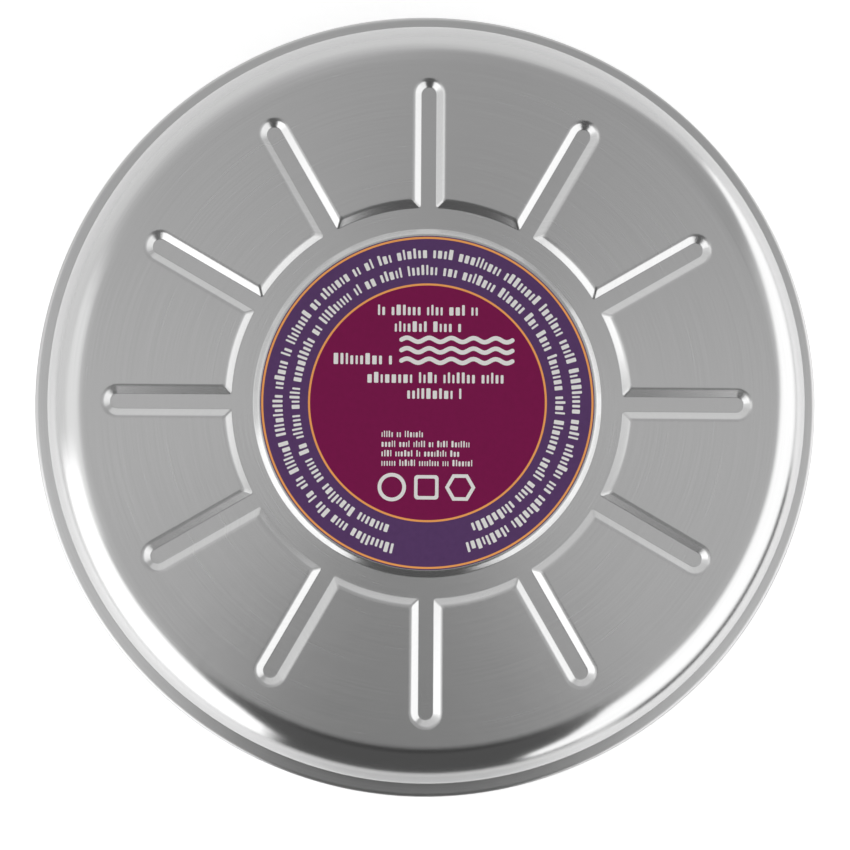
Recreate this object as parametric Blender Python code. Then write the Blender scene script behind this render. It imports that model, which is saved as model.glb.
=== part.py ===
"""A round electric bed warmer, lying on its rear face with the label side up.

Two pressed steel shells are joined by a rolled hem. A mica heater is clamped under the front shell, with a
thermostat and a thermal fuse below it, and the appliance inlet with its pilot lamp fills the rear centre.
Lengths are in metres and +Z points out of the label side.
"""

import math

import bmesh
import bpy
from mathutils import Matrix, Vector
from mathutils.geometry import convex_hull_2d

# Body: the drum, its sheet and its hem
HEM_RADIUS = 0.1175
BODY_HEIGHT = 0.050
SHEET = 0.0004
FLANGE_WIDTH = 0.0045
SHOULDER = 0.0115
WALL_DRAFT = 0.0001
FLANGE_BEND = 0.0004
SEAM_GAP = 0.00015

# Pressing: twelve radial grooves that open into a ring channel round the centre
GROOVES = 12
GROOVE_FLOOR = 0.0047
GROOVE_MARGIN = 0.0055
PRESS_DEPTH = 0.0016
PRESS_SLOPE = 0.0024
PANEL_CORNER = 0.0008
CHANNEL_WIDTH = 0.0064
CENTRE_RADIUS = 0.0515
CENTRE_SLOPE = 0.0015
BOSS_DROP = 0.0004
SEAT_DROP = 0.0032

# Fits: sheet against sheet, a piece in its hole, and the overrun of a cutter
STACK_GAP = 0.0001
HOLE_GAP = 0.0003
OVERRUN = 0.001

# Label
LABEL_MARGIN = 0.0006
LABEL_THICKNESS = 0.00025

# Heater: a ribbon between mica rings, pressed up by a plate on one welded stud.
# The posts, the thermostat and the fuse sit at shares of the rings' width
HEATER_INNER = 0.028
HEATER_MARGIN = 0.010
MICA_COVER = 0.0005
MICA_CORE = 0.0008
RIBBON_THICKNESS = 0.00025
RIBBON_WIDTH = 0.003
RIBBON_MARGIN = 0.004
RIBBON_LEGS = 36
PLATE_THICKNESS = 0.0008
PLATE_LIP = 0.002
POST_SHARE = 0.28
THERMOSTAT_SHARE = 0.38
FUSE_SHARE = 0.44

STUD_RADIUS = 0.0025
STUD_TAIL = 0.001
STUD_HEAD_RADIUS = 0.004
STUD_HEAD = 0.001
SLEEVE_WALL = 0.0032
WASHER_RADIUS = 0.009
WASHER_THICKNESS = 0.0012
SPRING_WASHER_WALL = 0.0019
SPRING_WASHER_THICKNESS = 0.0012
NUT_ACROSS = 0.008
NUT_HEIGHT = 0.004

# Heater posts: riveted heads on the ribbon's ends, blades below the plate
POST_ANGLES = (math.radians(62), math.radians(38))
POST_RADIUS = 0.0014
POST_HEAD_RADIUS = 0.0032
POST_HEAD = 0.0004
BUSH_WALL = 0.0013
BUSH_COLLAR_WALL = 0.0028
BUSH_COLLAR = 0.0015
BLADE_WIDTH = 0.0048
BLADE_THICKNESS = 0.0008
BLADE_LENGTH = 0.008

# Thermostat: a snap disc under the plate that pushes a pin against a contact arm
CAP_RADIUS = 0.0085
CAP_WALL = 0.0005
CAP_HEIGHT = 0.003
CAP_FLANGE = 0.0015
BRACKET_THICKNESS = 0.0008
BRACKET_EAR = 0.0036
BRACKET_REACH = 0.0150
DISC_THICKNESS = 0.0003
DISC_RISE = 0.0003
DISC_SPACE = 0.0004
GUIDE_THICKNESS = 0.0011
GUIDE_RIM = 0.0003
GUIDE_RIM_WIDTH = 0.0012
PIN_RADIUS = 0.001
PIN_TIP_RADIUS = 0.0006
PIN_TIP = 0.0008
BASE_WALL = 0.0014
BASE_FLOOR = 0.002
BASE_DEPTH = 0.006
ARM_THICKNESS = 0.0003
ARM_WIDTH = 0.0036
ARM_PLAY = 0.00015
ARM_SPAN = 0.0045
ARM_ROOT = 0.0013
CONTACT_REACH = 0.0034
CONTACT_WIDTH = 0.0018
CONTACT_HEIGHT = 0.0005
TERMINAL_REACH = 0.0048
CAP_SCREW_RADIUS = 0.0015
CAP_SCREW_HEAD_RADIUS = 0.0028
CAP_SCREW_HEAD = 0.0018

# Thermal fuse, its clip and the clip's rivet
FUSE_OFFSET = -0.006
FUSE_RADIUS = 0.002
FUSE_LENGTH = 0.011
FUSE_WIRE_RADIUS = 0.0005
FUSE_WIRE = 0.005
CLIP_THICKNESS = 0.0006
CLIP_WIDTH = 0.005
CLIP_FOOT = 0.0065
RIVET_RADIUS = 0.0012
RIVET_HEAD_RADIUS = 0.0022
RIVET_HEAD = 0.0009

# Inlet: a moulding that is let into the rear shell's seat
FACE_RECESS = 0.00035
HOUSING_FIT = 0.0005
MOUTH_WIDTH = 0.026
MOUTH_HEIGHT = 0.019
MOUTH_CHAMFER = 0.005
HOUSING_WALL = 0.003
HOUSING_FLOOR = 0.003
CONTACT_PITCH = 0.014
EARTH_SHIFT = 0.002
CONTACT_THICKNESS = 0.002
CONTACT_DEPTH = 0.004
CONTACT_SINK = 0.002
INLET_ROOM = 0.0096
CONTACT_NOSE = 0.0006
RING_THICKNESS = 0.0015
RING_HALF_WIDTH = 0.0045
HOUSING_SCREWS = 3
HOUSING_SCREW_MARGIN = 0.008
HOUSING_SCREW_ANGLE = math.radians(90)
HOUSING_SCREW_RADIUS = 0.00175
HOUSING_SCREW_LENGTH = 0.0078
HOUSING_SCREW_HEAD_RADIUS = 0.0032
HOUSING_SCREW_HEAD = 0.0017
HOUSING_SCREW_SINK = 0.0002

# Pilot lamp beside the inlet
LENS_MARGIN = 0.0023
LENS_RADIUS = 0.004
LENS_WALL = 0.0008
LENS_SHOULDER = 0.0012
LENS_SHOULDER_THICKNESS = 0.001
LENS_DEPTH = 0.009
LENS_CROWN = 0.0012
LAMP_RADIUS = 0.0027
LAMP_LENGTH = 0.0115
LAMP_LEGS = 0.0013
RESISTOR_RADIUS = 0.00115
RESISTOR_LENGTH = 0.007

# Turned heads and lead-ins, as shares of the size that they finish
HEAD_TOP_SHARE = 0.7
HEAD_EDGE_SHARE = 0.4
LEAD_IN_SHARE = 0.2
CROWN_EDGE_SHARE = 0.25
LAMP_TIP_SHARE = 0.3
LAMP_IN_LENS_SHARE = 0.5

# Leads inside the drum
LEAD_RADIUS = 0.0011
LAMP_LEAD_RADIUS = 0.0005
LEAD_GAP = 0.0003
LEAD_POINTS = 10
LEAD_BEND_SHARE = 0.38
INLET_RISE = 0.008
EARTH_TAB_ANGLE = math.radians(75)
EARTH_TAB_FOOT = 0.009

# Counts of steps round curves
RIM_STEPS = 60
DISC_STEPS = 36
ROUND_STEPS = 16
SHOULDER_STEPS = 4
HEM_STEPS = 4
END_STEPS = 3
CORNER_STEPS = 2
ARC_STEPS = 2
HEX = 6

# Sizes that follow from those above
WALL_RADIUS = HEM_RADIUS - FLANGE_WIDTH
SHOULDER_RADIUS = WALL_RADIUS - WALL_DRAFT
FACE_RADIUS = SHOULDER_RADIUS - SHOULDER
GROOVE_END = FACE_RADIUS - GROOVE_MARGIN
CHANNEL_RADIUS = CENTRE_RADIUS + CHANNEL_WIDTH
CENTRE_FLAT = CENTRE_RADIUS - CENTRE_SLOPE
SEAM = BODY_HEIGHT / 2
HEM_HEIGHT = 3 * SHEET + 2 * SEAM_GAP
HEM_CENTRE = HEM_RADIUS - HEM_HEIGHT / 2
LAP_RADIUS = WALL_RADIUS + FLANGE_BEND + SEAM_GAP
EARTH_TAB_CIRCLE = (CHANNEL_RADIUS + PRESS_SLOPE + FACE_RADIUS - EARTH_TAB_FOOT) / 2

BOSS_INSIDE = BODY_HEIGHT - BOSS_DROP - SHEET
RIB_INSIDE = BODY_HEIGHT - PRESS_DEPTH - SHEET
FRONT_MICA_TOP = RIB_INSIDE - STACK_GAP
RIBBON_TOP = FRONT_MICA_TOP - MICA_COVER - STACK_GAP
CORE_TOP = RIBBON_TOP - RIBBON_THICKNESS - STACK_GAP
REAR_MICA_TOP = CORE_TOP - MICA_CORE - STACK_GAP
PLATE_TOP = REAR_MICA_TOP - MICA_COVER - STACK_GAP
PLATE_BOTTOM = PLATE_TOP - PLATE_THICKNESS
HEATER_OUTER = FACE_RADIUS - HEATER_MARGIN
HEATER_WIDTH = HEATER_OUTER - HEATER_INNER
POST_CIRCLE = HEATER_INNER + HEATER_WIDTH * POST_SHARE
THERMOSTAT_REACH = HEATER_INNER + HEATER_WIDTH * THERMOSTAT_SHARE
FUSE_REACH = HEATER_INNER + HEATER_WIDTH * FUSE_SHARE
POST_HOLE = POST_RADIUS + HOLE_GAP
BUSH_RADIUS = POST_HOLE + BUSH_WALL
BUSH_HOLE = BUSH_RADIUS + HOLE_GAP
STUD_HOLE = STUD_RADIUS + HOLE_GAP
WASHER_TOP = PLATE_BOTTOM - STACK_GAP
SPRING_WASHER_TOP = WASHER_TOP - WASHER_THICKNESS - STACK_GAP
NUT_TOP = SPRING_WASHER_TOP - SPRING_WASHER_THICKNESS - STACK_GAP
STUD_END = NUT_TOP - NUT_HEIGHT - STUD_TAIL
CAP_SCREW_HOLE = CAP_SCREW_RADIUS + HOLE_GAP
RIVET_HOLE = RIVET_RADIUS + HOLE_GAP

CAP_TOP = PLATE_BOTTOM - STACK_GAP
CAP_FOOT = CAP_TOP - CAP_HEIGHT
GUIDE_RADIUS = CAP_RADIUS - CAP_WALL - HOLE_GAP
DISC_EDGE = CAP_TOP - CAP_WALL - DISC_SPACE - DISC_RISE - DISC_THICKNESS
GUIDE_RIM_TOP = DISC_EDGE - STACK_GAP
GUIDE_TOP = GUIDE_RIM_TOP - GUIDE_RIM
GUIDE_BOTTOM = GUIDE_TOP - GUIDE_THICKNESS
BASE_TOP = GUIDE_BOTTOM - STACK_GAP
BASE_INNER = GUIDE_RADIUS - BASE_WALL
BASE_INSIDE = BASE_TOP - BASE_DEPTH
BASE_BOTTOM = BASE_INSIDE - BASE_FLOOR
TERMINAL_TOP = BASE_TOP - HOLE_GAP
FIXED_CONTACT = TERMINAL_TOP - BLADE_THICKNESS - CONTACT_HEIGHT
ARM_TOP = FIXED_CONTACT - ARM_PLAY - CONTACT_HEIGHT
ARM_BOTTOM = ARM_TOP - ARM_THICKNESS
ARM_AXIS = (ARM_TOP + ARM_BOTTOM) / 2
PIN_TOP = DISC_EDGE + DISC_RISE - STACK_GAP
PIN_BOTTOM = ARM_TOP + ARM_PLAY
THERMOSTAT_BLADE_END = BASE_BOTTOM - BLADE_LENGTH

FUSE_HEIGHT = PLATE_BOTTOM - STACK_GAP - FUSE_RADIUS
FLANGE_INSIDE = SEAT_DROP - STACK_GAP
INLET_BLADE_END = STUD_END - INLET_ROOM
HOUSING_TOP = INLET_BLADE_END - BLADE_LENGTH
MOUTH_FLOOR = HOUSING_TOP - HOUSING_FLOOR
HOUSING_SCREW_CIRCLE = CENTRE_FLAT - HOUSING_SCREW_MARGIN
RING_INNER = HOUSING_SCREW_CIRCLE - RING_HALF_WIDTH
LENS_REACH = RING_INNER - LENS_MARGIN - LENS_RADIUS - LENS_SHOULDER
SEAT_INSIDE = SEAT_DROP + SHEET
LAMP_TOP = LENS_DEPTH + LAMP_LENGTH * LAMP_IN_LENS_SHARE


def finish(name, colour, roughness, metallic=0.0):
    """A plain Principled material in the piece's own colour."""
    made = bpy.data.materials.new(name + "_finish")
    made.use_nodes = True
    shader = made.node_tree.nodes["Principled BSDF"]
    shader.inputs["Base Color"].default_value = (*colour, 1)
    shader.inputs["Roughness"].default_value = roughness
    shader.inputs["Metallic"].default_value = metallic
    return made


def satin_steel(name):
    return finish(name, (0.50, 0.50, 0.49), 0.34, 1)


def plated_steel(name):
    return finish(name, (0.62, 0.61, 0.57), 0.28, 1)


def brass(name):
    return finish(name, (0.72, 0.54, 0.24), 0.30, 1)


def mica(name):
    return finish(name, (0.52, 0.45, 0.33), 0.45)


def black_moulding(name):
    return finish(name, (0.02, 0.02, 0.02), 0.42)


def ceramic(name):
    return finish(name, (0.82, 0.80, 0.74), 0.35)


def sleeve(name, colour):
    return finish(name, colour, 0.55)


def place(name, shape, look, at=(0.0, 0.0, 0.0), turn=0.0):
    """Make an object of a bmesh, smooth over its round faces, and put it in its place."""
    mesh = bpy.data.meshes.new(name)
    shape.to_mesh(mesh)
    shape.free()
    mesh.shade_smooth()
    mesh.set_sharp_from_angle(angle=math.radians(30))
    mesh.materials.append(look)
    made = bpy.data.objects.new(name, mesh)
    made.location = at
    made.rotation_euler = (0, 0, turn)
    bpy.context.scene.collection.objects.link(made)
    return made


def helper(name, shape):
    """A cutter, or a body to join, that is no piece of its own."""
    made = place(name, shape, finish(name, (1, 0, 0), 1))
    made.hide_render = True
    made.display_type = "WIRE"
    return made


def combine(piece, other, operation):
    step = piece.modifiers.new(other.name, "BOOLEAN")
    step.operation = operation
    step.solver = "EXACT"
    step.object = other


def circle(radius, steps, centre=(0.0, 0.0)):
    points = []
    for step in range(steps):
        angle = math.tau * step / steps
        points.append((centre[0] + radius * math.cos(angle), centre[1] + radius * math.sin(angle)))
    return points


def rectangle(low_x, low_y, high_x, high_y):
    return [(low_x, low_y), (high_x, low_y), (high_x, high_y), (low_x, high_y)]


def polar(radius, angle):
    return (radius * math.cos(angle), radius * math.sin(angle))


def add_loop(shape, points, height):
    """A closed loop of vertices and edges at one height."""
    corners = [shape.verts.new((x, y, height)) for x, y in points]
    edges = [shape.edges.new((corners[i - 1], corners[i])) for i in range(len(corners))]
    return corners, edges


def bridge(shape, inner, outer):
    """Faces between two loops of equal counts, facing up when the first is the inner one."""
    for i in range(len(inner)):
        shape.faces.new((inner[i - 1], outer[i - 1], outer[i], inner[i]))


def fill(shape, *loops):
    """A flat face between loops: the first is the outline and the others are holes."""
    edges = [edge for loop in loops for edge in loop[1]]
    bmesh.ops.triangle_fill(shape, use_beauty=True, edges=edges, normal=(0, 0, 1))


def slab(outline, low, high, holes=(), along="Z"):
    """A closed solid with a flat outline and holes, drawn across one axis and extruded along it."""
    shape = bmesh.new()
    fill(shape, *[add_loop(shape, loop, low) for loop in (outline, *holes)])
    grown = bmesh.ops.extrude_face_region(shape, geom=shape.faces[:])
    moved = [item for item in grown["geom"] if isinstance(item, bmesh.types.BMVert)]
    bmesh.ops.translate(shape, vec=(0, 0, high - low), verts=moved)
    if along == "Y":
        swap = Matrix(((1, 0, 0), (0, 0, 1), (0, 1, 0))).to_4x4()
    elif along == "X":
        swap = Matrix(((0, 0, 1), (1, 0, 0), (0, 1, 0))).to_4x4()
    else:
        swap = Matrix.Identity(4)
    bmesh.ops.transform(shape, matrix=swap, verts=shape.verts)
    bmesh.ops.recalc_face_normals(shape, faces=shape.faces)
    return shape


def turned(profile, steps=ROUND_STEPS, centre=(0.0, 0.0)):
    """A closed solid of revolution about Z, from (radius, height) points in order round its section."""
    shape = bmesh.new()
    rings = []
    for radius, height in profile:
        points = circle(radius, steps, centre) if radius else [centre]
        rings.append([shape.verts.new((x, y, height)) for x, y in points])
    for first, second in zip(rings, rings[1:] + rings[:1]):
        for i in range(steps):
            corners = [first[i - 1 if first[1:] else 0], first[i if first[1:] else 0]]
            corners += [second[i if second[1:] else 0], second[i - 1 if second[1:] else 0]]
            distinct = list(dict.fromkeys(corners))
            if len(distinct) > 2:
                shape.faces.new(distinct)
    bmesh.ops.recalc_face_normals(shape, faces=shape.faces)
    return shape


def recess_outline(offset):
    """The edge of the pressed recess, at a distance outside its floor line: channel, corners and grooves."""
    half = GROOVE_FLOOR / 2 + offset
    end = GROOVE_END - PRESS_SLOPE - GROOVE_FLOOR / 2
    corner_y = half + PANEL_CORNER
    corner_x = math.sqrt((CHANNEL_RADIUS + offset + PANEL_CORNER) ** 2 - corner_y**2)
    lean = math.atan2(corner_y, corner_x)
    side = []
    for step in range(END_STEPS + 1):
        angle = math.pi / 2 * step / END_STEPS
        side.append((end + half * math.cos(angle), half * math.sin(angle)))
    for step in range(CORNER_STEPS + 1):
        angle = -math.pi / 2 - (math.pi / 2 - lean) * step / CORNER_STEPS
        side.append((corner_x + PANEL_CORNER * math.cos(angle), corner_y + PANEL_CORNER * math.sin(angle)))
    middle = math.pi / GROOVES
    for step in range(1, ARC_STEPS + 1):
        side.append(polar(CHANNEL_RADIUS + offset, lean + (middle - lean) * step / ARC_STEPS))
    sector = [(x, -y) for x, y in side[-2:0:-1]] + side
    points = []
    for groove in range(GROOVES):
        turn = math.tau * groove / GROOVES
        for x, y in sector:
            points.append((x * math.cos(turn) - y * math.sin(turn), x * math.sin(turn) + y * math.cos(turn)))
    return points


def wall_profile(flange_depth):
    """Shoulder, wall and flange bend, as (radius, depth below the face)."""
    profile = []
    for step in range(1, SHOULDER_STEPS + 1):
        angle = math.pi / 2 * step / SHOULDER_STEPS
        profile.append((FACE_RADIUS + SHOULDER * math.sin(angle), SHOULDER * (1 - math.cos(angle))))
    profile.append((WALL_RADIUS, flange_depth - FLANGE_BEND))
    profile.append((WALL_RADIUS + FLANGE_BEND, flange_depth))
    return profile


def pressed_sheet(profile, centre_depth, centre_holes, facing_up):
    """The outer surface of one shell, from its centre to the end of its rim."""
    shape = bmesh.new()
    centre = add_loop(shape, circle(CENTRE_FLAT, RIM_STEPS), -centre_depth)
    fill(shape, centre, *[add_loop(shape, hole, -centre_depth) for hole in centre_holes])
    boss = add_loop(shape, circle(CENTRE_RADIUS, RIM_STEPS), -PRESS_DEPTH)
    bridge(shape, centre[0], boss[0])
    floor = add_loop(shape, recess_outline(0), -PRESS_DEPTH)
    fill(shape, floor, boss)
    edge = add_loop(shape, recess_outline(PRESS_SLOPE), 0)
    bridge(shape, floor[0], edge[0])
    face = add_loop(shape, circle(FACE_RADIUS, RIM_STEPS), 0)
    fill(shape, face, edge)
    last = face[0]
    for radius, depth in profile:
        ring = add_loop(shape, circle(radius, RIM_STEPS), -depth)[0]
        bridge(shape, last, ring)
        last = ring
    if facing_up:
        bmesh.ops.translate(shape, vec=(0, 0, BODY_HEIGHT), verts=shape.verts)
    else:
        bmesh.ops.scale(shape, vec=(1, 1, -1), verts=shape.verts)
        bmesh.ops.reverse_faces(shape, faces=shape.faces)
    return shape


def thicken(shell):
    """Give a shell its sheet, inwards from its outer surface."""
    wall = shell.modifiers.new("sheet", "SOLIDIFY")
    wall.thickness = SHEET
    wall.offset = -1
    wall.use_even_offset = True
    wall.use_quality_normals = True


def mouth_outline(grow):
    """The inlet's outline with its two keyed corners, grown by a wall or a clearance."""
    x = MOUTH_WIDTH / 2 + grow
    y = MOUTH_HEIGHT / 2 + grow
    return [
        (-x, -y),
        (x, -y),
        (x, y - MOUTH_CHAMFER),
        (x - MOUTH_CHAMFER, y),
        (MOUTH_CHAMFER - x, y),
        (-x, y - MOUTH_CHAMFER),
    ]


def screw_places():
    places = []
    for number in range(HOUSING_SCREWS):
        places.append(polar(HOUSING_SCREW_CIRCLE, HOUSING_SCREW_ANGLE + math.tau * number / HOUSING_SCREWS))
    return places


def front_shell():
    flange_depth = BODY_HEIGHT - SEAM - SHEET / 2
    profile = wall_profile(flange_depth) + [(HEM_CENTRE, flange_depth)]
    shell = place("front_shell", pressed_sheet(profile, BOSS_DROP, (), True), satin_steel("front_shell"))
    thicken(shell)


def rear_shell():
    flange_depth = SEAM - HEM_HEIGHT / 2
    profile = wall_profile(flange_depth)
    for step in range(HEM_STEPS + 1):
        angle = math.pi * step / HEM_STEPS - math.pi / 2
        radius = HEM_CENTRE + HEM_HEIGHT / 2 * math.cos(angle)
        profile.append((radius, SEAM + HEM_HEIGHT / 2 * math.sin(angle)))
    profile.append((LAP_RADIUS, flange_depth + HEM_HEIGHT))
    hole = HOUSING_SCREW_RADIUS + HOLE_GAP
    holes = [mouth_outline(HOUSING_WALL + HOUSING_FIT)]
    holes += [circle(hole, ROUND_STEPS, place_of) for place_of in screw_places()]
    holes.append(circle(LENS_RADIUS + LENS_SHOULDER + HOLE_GAP, ROUND_STEPS, (0, -LENS_REACH)))
    shell = place("rear_shell", pressed_sheet(profile, SEAT_DROP, holes, False), satin_steel("rear_shell"))
    thicken(shell)


def rating_label():
    low = BODY_HEIGHT - BOSS_DROP + STACK_GAP
    outline = circle(CENTRE_FLAT - LABEL_MARGIN, RIM_STEPS)
    look = finish("rating_label", (0.13, 0.04, 0.14), 0.4)
    place("rating_label", slab(outline, low, low + LABEL_THICKNESS), look)


def post_places():
    return [polar(POST_CIRCLE, angle) for angle in POST_ANGLES]


def mica_ring(name, top, thickness, hole_radius):
    holes = [circle(HEATER_INNER, DISC_STEPS)]
    holes += [circle(hole_radius, ROUND_STEPS, centre) for centre in post_places()]
    place(name, slab(circle(HEATER_OUTER, DISC_STEPS), top - thickness, top, holes), mica(name))


def ribbon_path():
    """The ribbon's centre line: radial legs joined in turn at the outer and the inner edge of the ring."""
    inner = HEATER_INNER + RIBBON_MARGIN
    outer = HEATER_OUTER - RIBBON_MARGIN
    stop = POST_CIRCLE + POST_HOLE + RIBBON_WIDTH / 2
    first, last = POST_ANGLES
    sweep = (last - first) % math.tau
    path = []
    for leg in range(RIBBON_LEGS):
        angle = first + sweep * leg / (RIBBON_LEGS - 1)
        ends = (inner, outer) if leg % 2 == 0 else (outer, inner)
        if leg == 0:
            ends = (stop, outer)
        if leg == RIBBON_LEGS - 1:
            ends = (outer, stop)
        path += [Vector(polar(radius, angle)) for radius in ends]
    return path


def strip_outline(path, width):
    """Both sides of a flat strip along a path, mitred at its corners."""
    left, right = [], []
    for i, point in enumerate(path):
        before = (point - path[i - 1]).normalized() if i else (path[1] - point).normalized()
        after = (path[i + 1] - point).normalized() if i + 1 < len(path) else before
        across = Vector((-(before + after).y, (before + after).x)).normalized()
        reach = width / 2 / across.dot(Vector((-after.y, after.x)))
        left.append(tuple(point + across * reach))
        right.append(tuple(point - across * reach))
    return left + right[::-1]


def heater():
    mica_ring("front_mica", FRONT_MICA_TOP, MICA_COVER, POST_HEAD_RADIUS + HOLE_GAP)
    mica_ring("core_mica", CORE_TOP, MICA_CORE, POST_HOLE)
    mica_ring("rear_mica", REAR_MICA_TOP, MICA_COVER, BUSH_HOLE)
    outline = strip_outline(ribbon_path(), RIBBON_WIDTH)
    look = finish("heater_ribbon", (0.42, 0.40, 0.36), 0.4, 1)
    place("heater_ribbon", slab(outline, RIBBON_TOP - RIBBON_THICKNESS, RIBBON_TOP), look)


def thermostat_screw_places():
    return [(THERMOSTAT_REACH, side * BRACKET_REACH) for side in (-1, 1)]


def rivet_place():
    return (FUSE_OFFSET, FUSE_REACH + FUSE_RADIUS + HOLE_GAP + CLIP_THICKNESS + CLIP_FOOT / 2)


def clamp_stack():
    """The welded stud and what it clamps, from the boss down to the nut."""
    stud_top = BOSS_INSIDE - STACK_GAP
    head_bottom = stud_top - STUD_HEAD
    lead_in = STUD_RADIUS * LEAD_IN_SHARE
    profile = [
        (0, stud_top),
        (STUD_HEAD_RADIUS, stud_top),
        (STUD_HEAD_RADIUS, head_bottom),
        (STUD_RADIUS, head_bottom),
        (STUD_RADIUS, STUD_END + lead_in),
        (STUD_RADIUS - lead_in, STUD_END),
        (0, STUD_END),
    ]
    place("centre_stud", turned(profile), plated_steel("centre_stud"))
    bore = circle(STUD_HOLE, ROUND_STEPS)
    sleeve_outline = circle(STUD_HOLE + SLEEVE_WALL, ROUND_STEPS)
    sleeve_shape = slab(sleeve_outline, PLATE_TOP + STACK_GAP, head_bottom - STACK_GAP, [bore])
    place("spacer_sleeve", sleeve_shape, plated_steel("spacer_sleeve"))
    holes = [bore] + [circle(BUSH_HOLE, ROUND_STEPS, centre) for centre in post_places()]
    holes += [circle(CAP_SCREW_HOLE, ROUND_STEPS, centre) for centre in thermostat_screw_places()]
    holes.append(circle(RIVET_HOLE, ROUND_STEPS, rivet_place()))
    plate = slab(circle(HEATER_OUTER + PLATE_LIP, DISC_STEPS), PLATE_BOTTOM, PLATE_TOP, holes)
    place("pressure_plate", plate, finish("pressure_plate", (0.55, 0.56, 0.57), 0.45, 1))
    washer_disc = circle(WASHER_RADIUS, ROUND_STEPS)
    washer = slab(washer_disc, WASHER_TOP - WASHER_THICKNESS, WASHER_TOP, [bore])
    place("plate_washer", washer, plated_steel("plate_washer"))
    split = math.tau / ROUND_STEPS
    arc = [split / 2 + (math.tau - split) * step / ROUND_STEPS for step in range(ROUND_STEPS + 1)]
    ring = [polar(STUD_HOLE + SPRING_WASHER_WALL, angle) for angle in arc]
    ring += [polar(STUD_HOLE, angle) for angle in reversed(arc)]
    spring = slab(ring, SPRING_WASHER_TOP - SPRING_WASHER_THICKNESS, SPRING_WASHER_TOP)
    place("spring_washer", spring, plated_steel("spring_washer"))
    hexagon = circle(NUT_ACROSS / 2 / math.cos(math.pi / HEX), HEX)
    nut = slab(hexagon, NUT_TOP - NUT_HEIGHT, NUT_TOP, [bore])
    place("stud_nut", nut, plated_steel("stud_nut"))


def heater_posts():
    collar_bottom = PLATE_BOTTOM - STACK_GAP - BUSH_COLLAR
    head_bottom = RIBBON_TOP + STACK_GAP
    stem_end = collar_bottom - BLADE_THICKNESS
    for number, (centre, angle) in enumerate(zip(post_places(), POST_ANGLES), 1):
        name = f"heater_post_{number}"
        profile = [
            (0, head_bottom + POST_HEAD),
            (POST_HEAD_RADIUS, head_bottom + POST_HEAD),
            (POST_HEAD_RADIUS, head_bottom),
            (POST_RADIUS, head_bottom),
            (POST_RADIUS, stem_end),
            (0, stem_end),
        ]
        post = place(name, turned(profile), brass(name), (*centre, 0), angle)
        half = BLADE_THICKNESS / 2
        blade = slab(
            rectangle(-BLADE_WIDTH / 2, -half, BLADE_WIDTH / 2, half),
            collar_bottom - STACK_GAP - BLADE_LENGTH,
            collar_bottom - STACK_GAP,
        )
        other = helper(name + "_blade", blade)
        other.location = post.location
        other.rotation_euler = post.rotation_euler
        combine(post, other, "UNION")
        name = f"post_bush_{number}"
        top = CORE_TOP - MICA_CORE - STACK_GAP
        collar = BUSH_RADIUS + BUSH_COLLAR_WALL
        bush = [
            (POST_HOLE, top),
            (BUSH_RADIUS, top),
            (BUSH_RADIUS, PLATE_BOTTOM - STACK_GAP),
            (collar, PLATE_BOTTOM - STACK_GAP),
            (collar, collar_bottom),
            (POST_HOLE, collar_bottom),
        ]
        place(name, turned(bush), ceramic(name), (*centre, 0))


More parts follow.
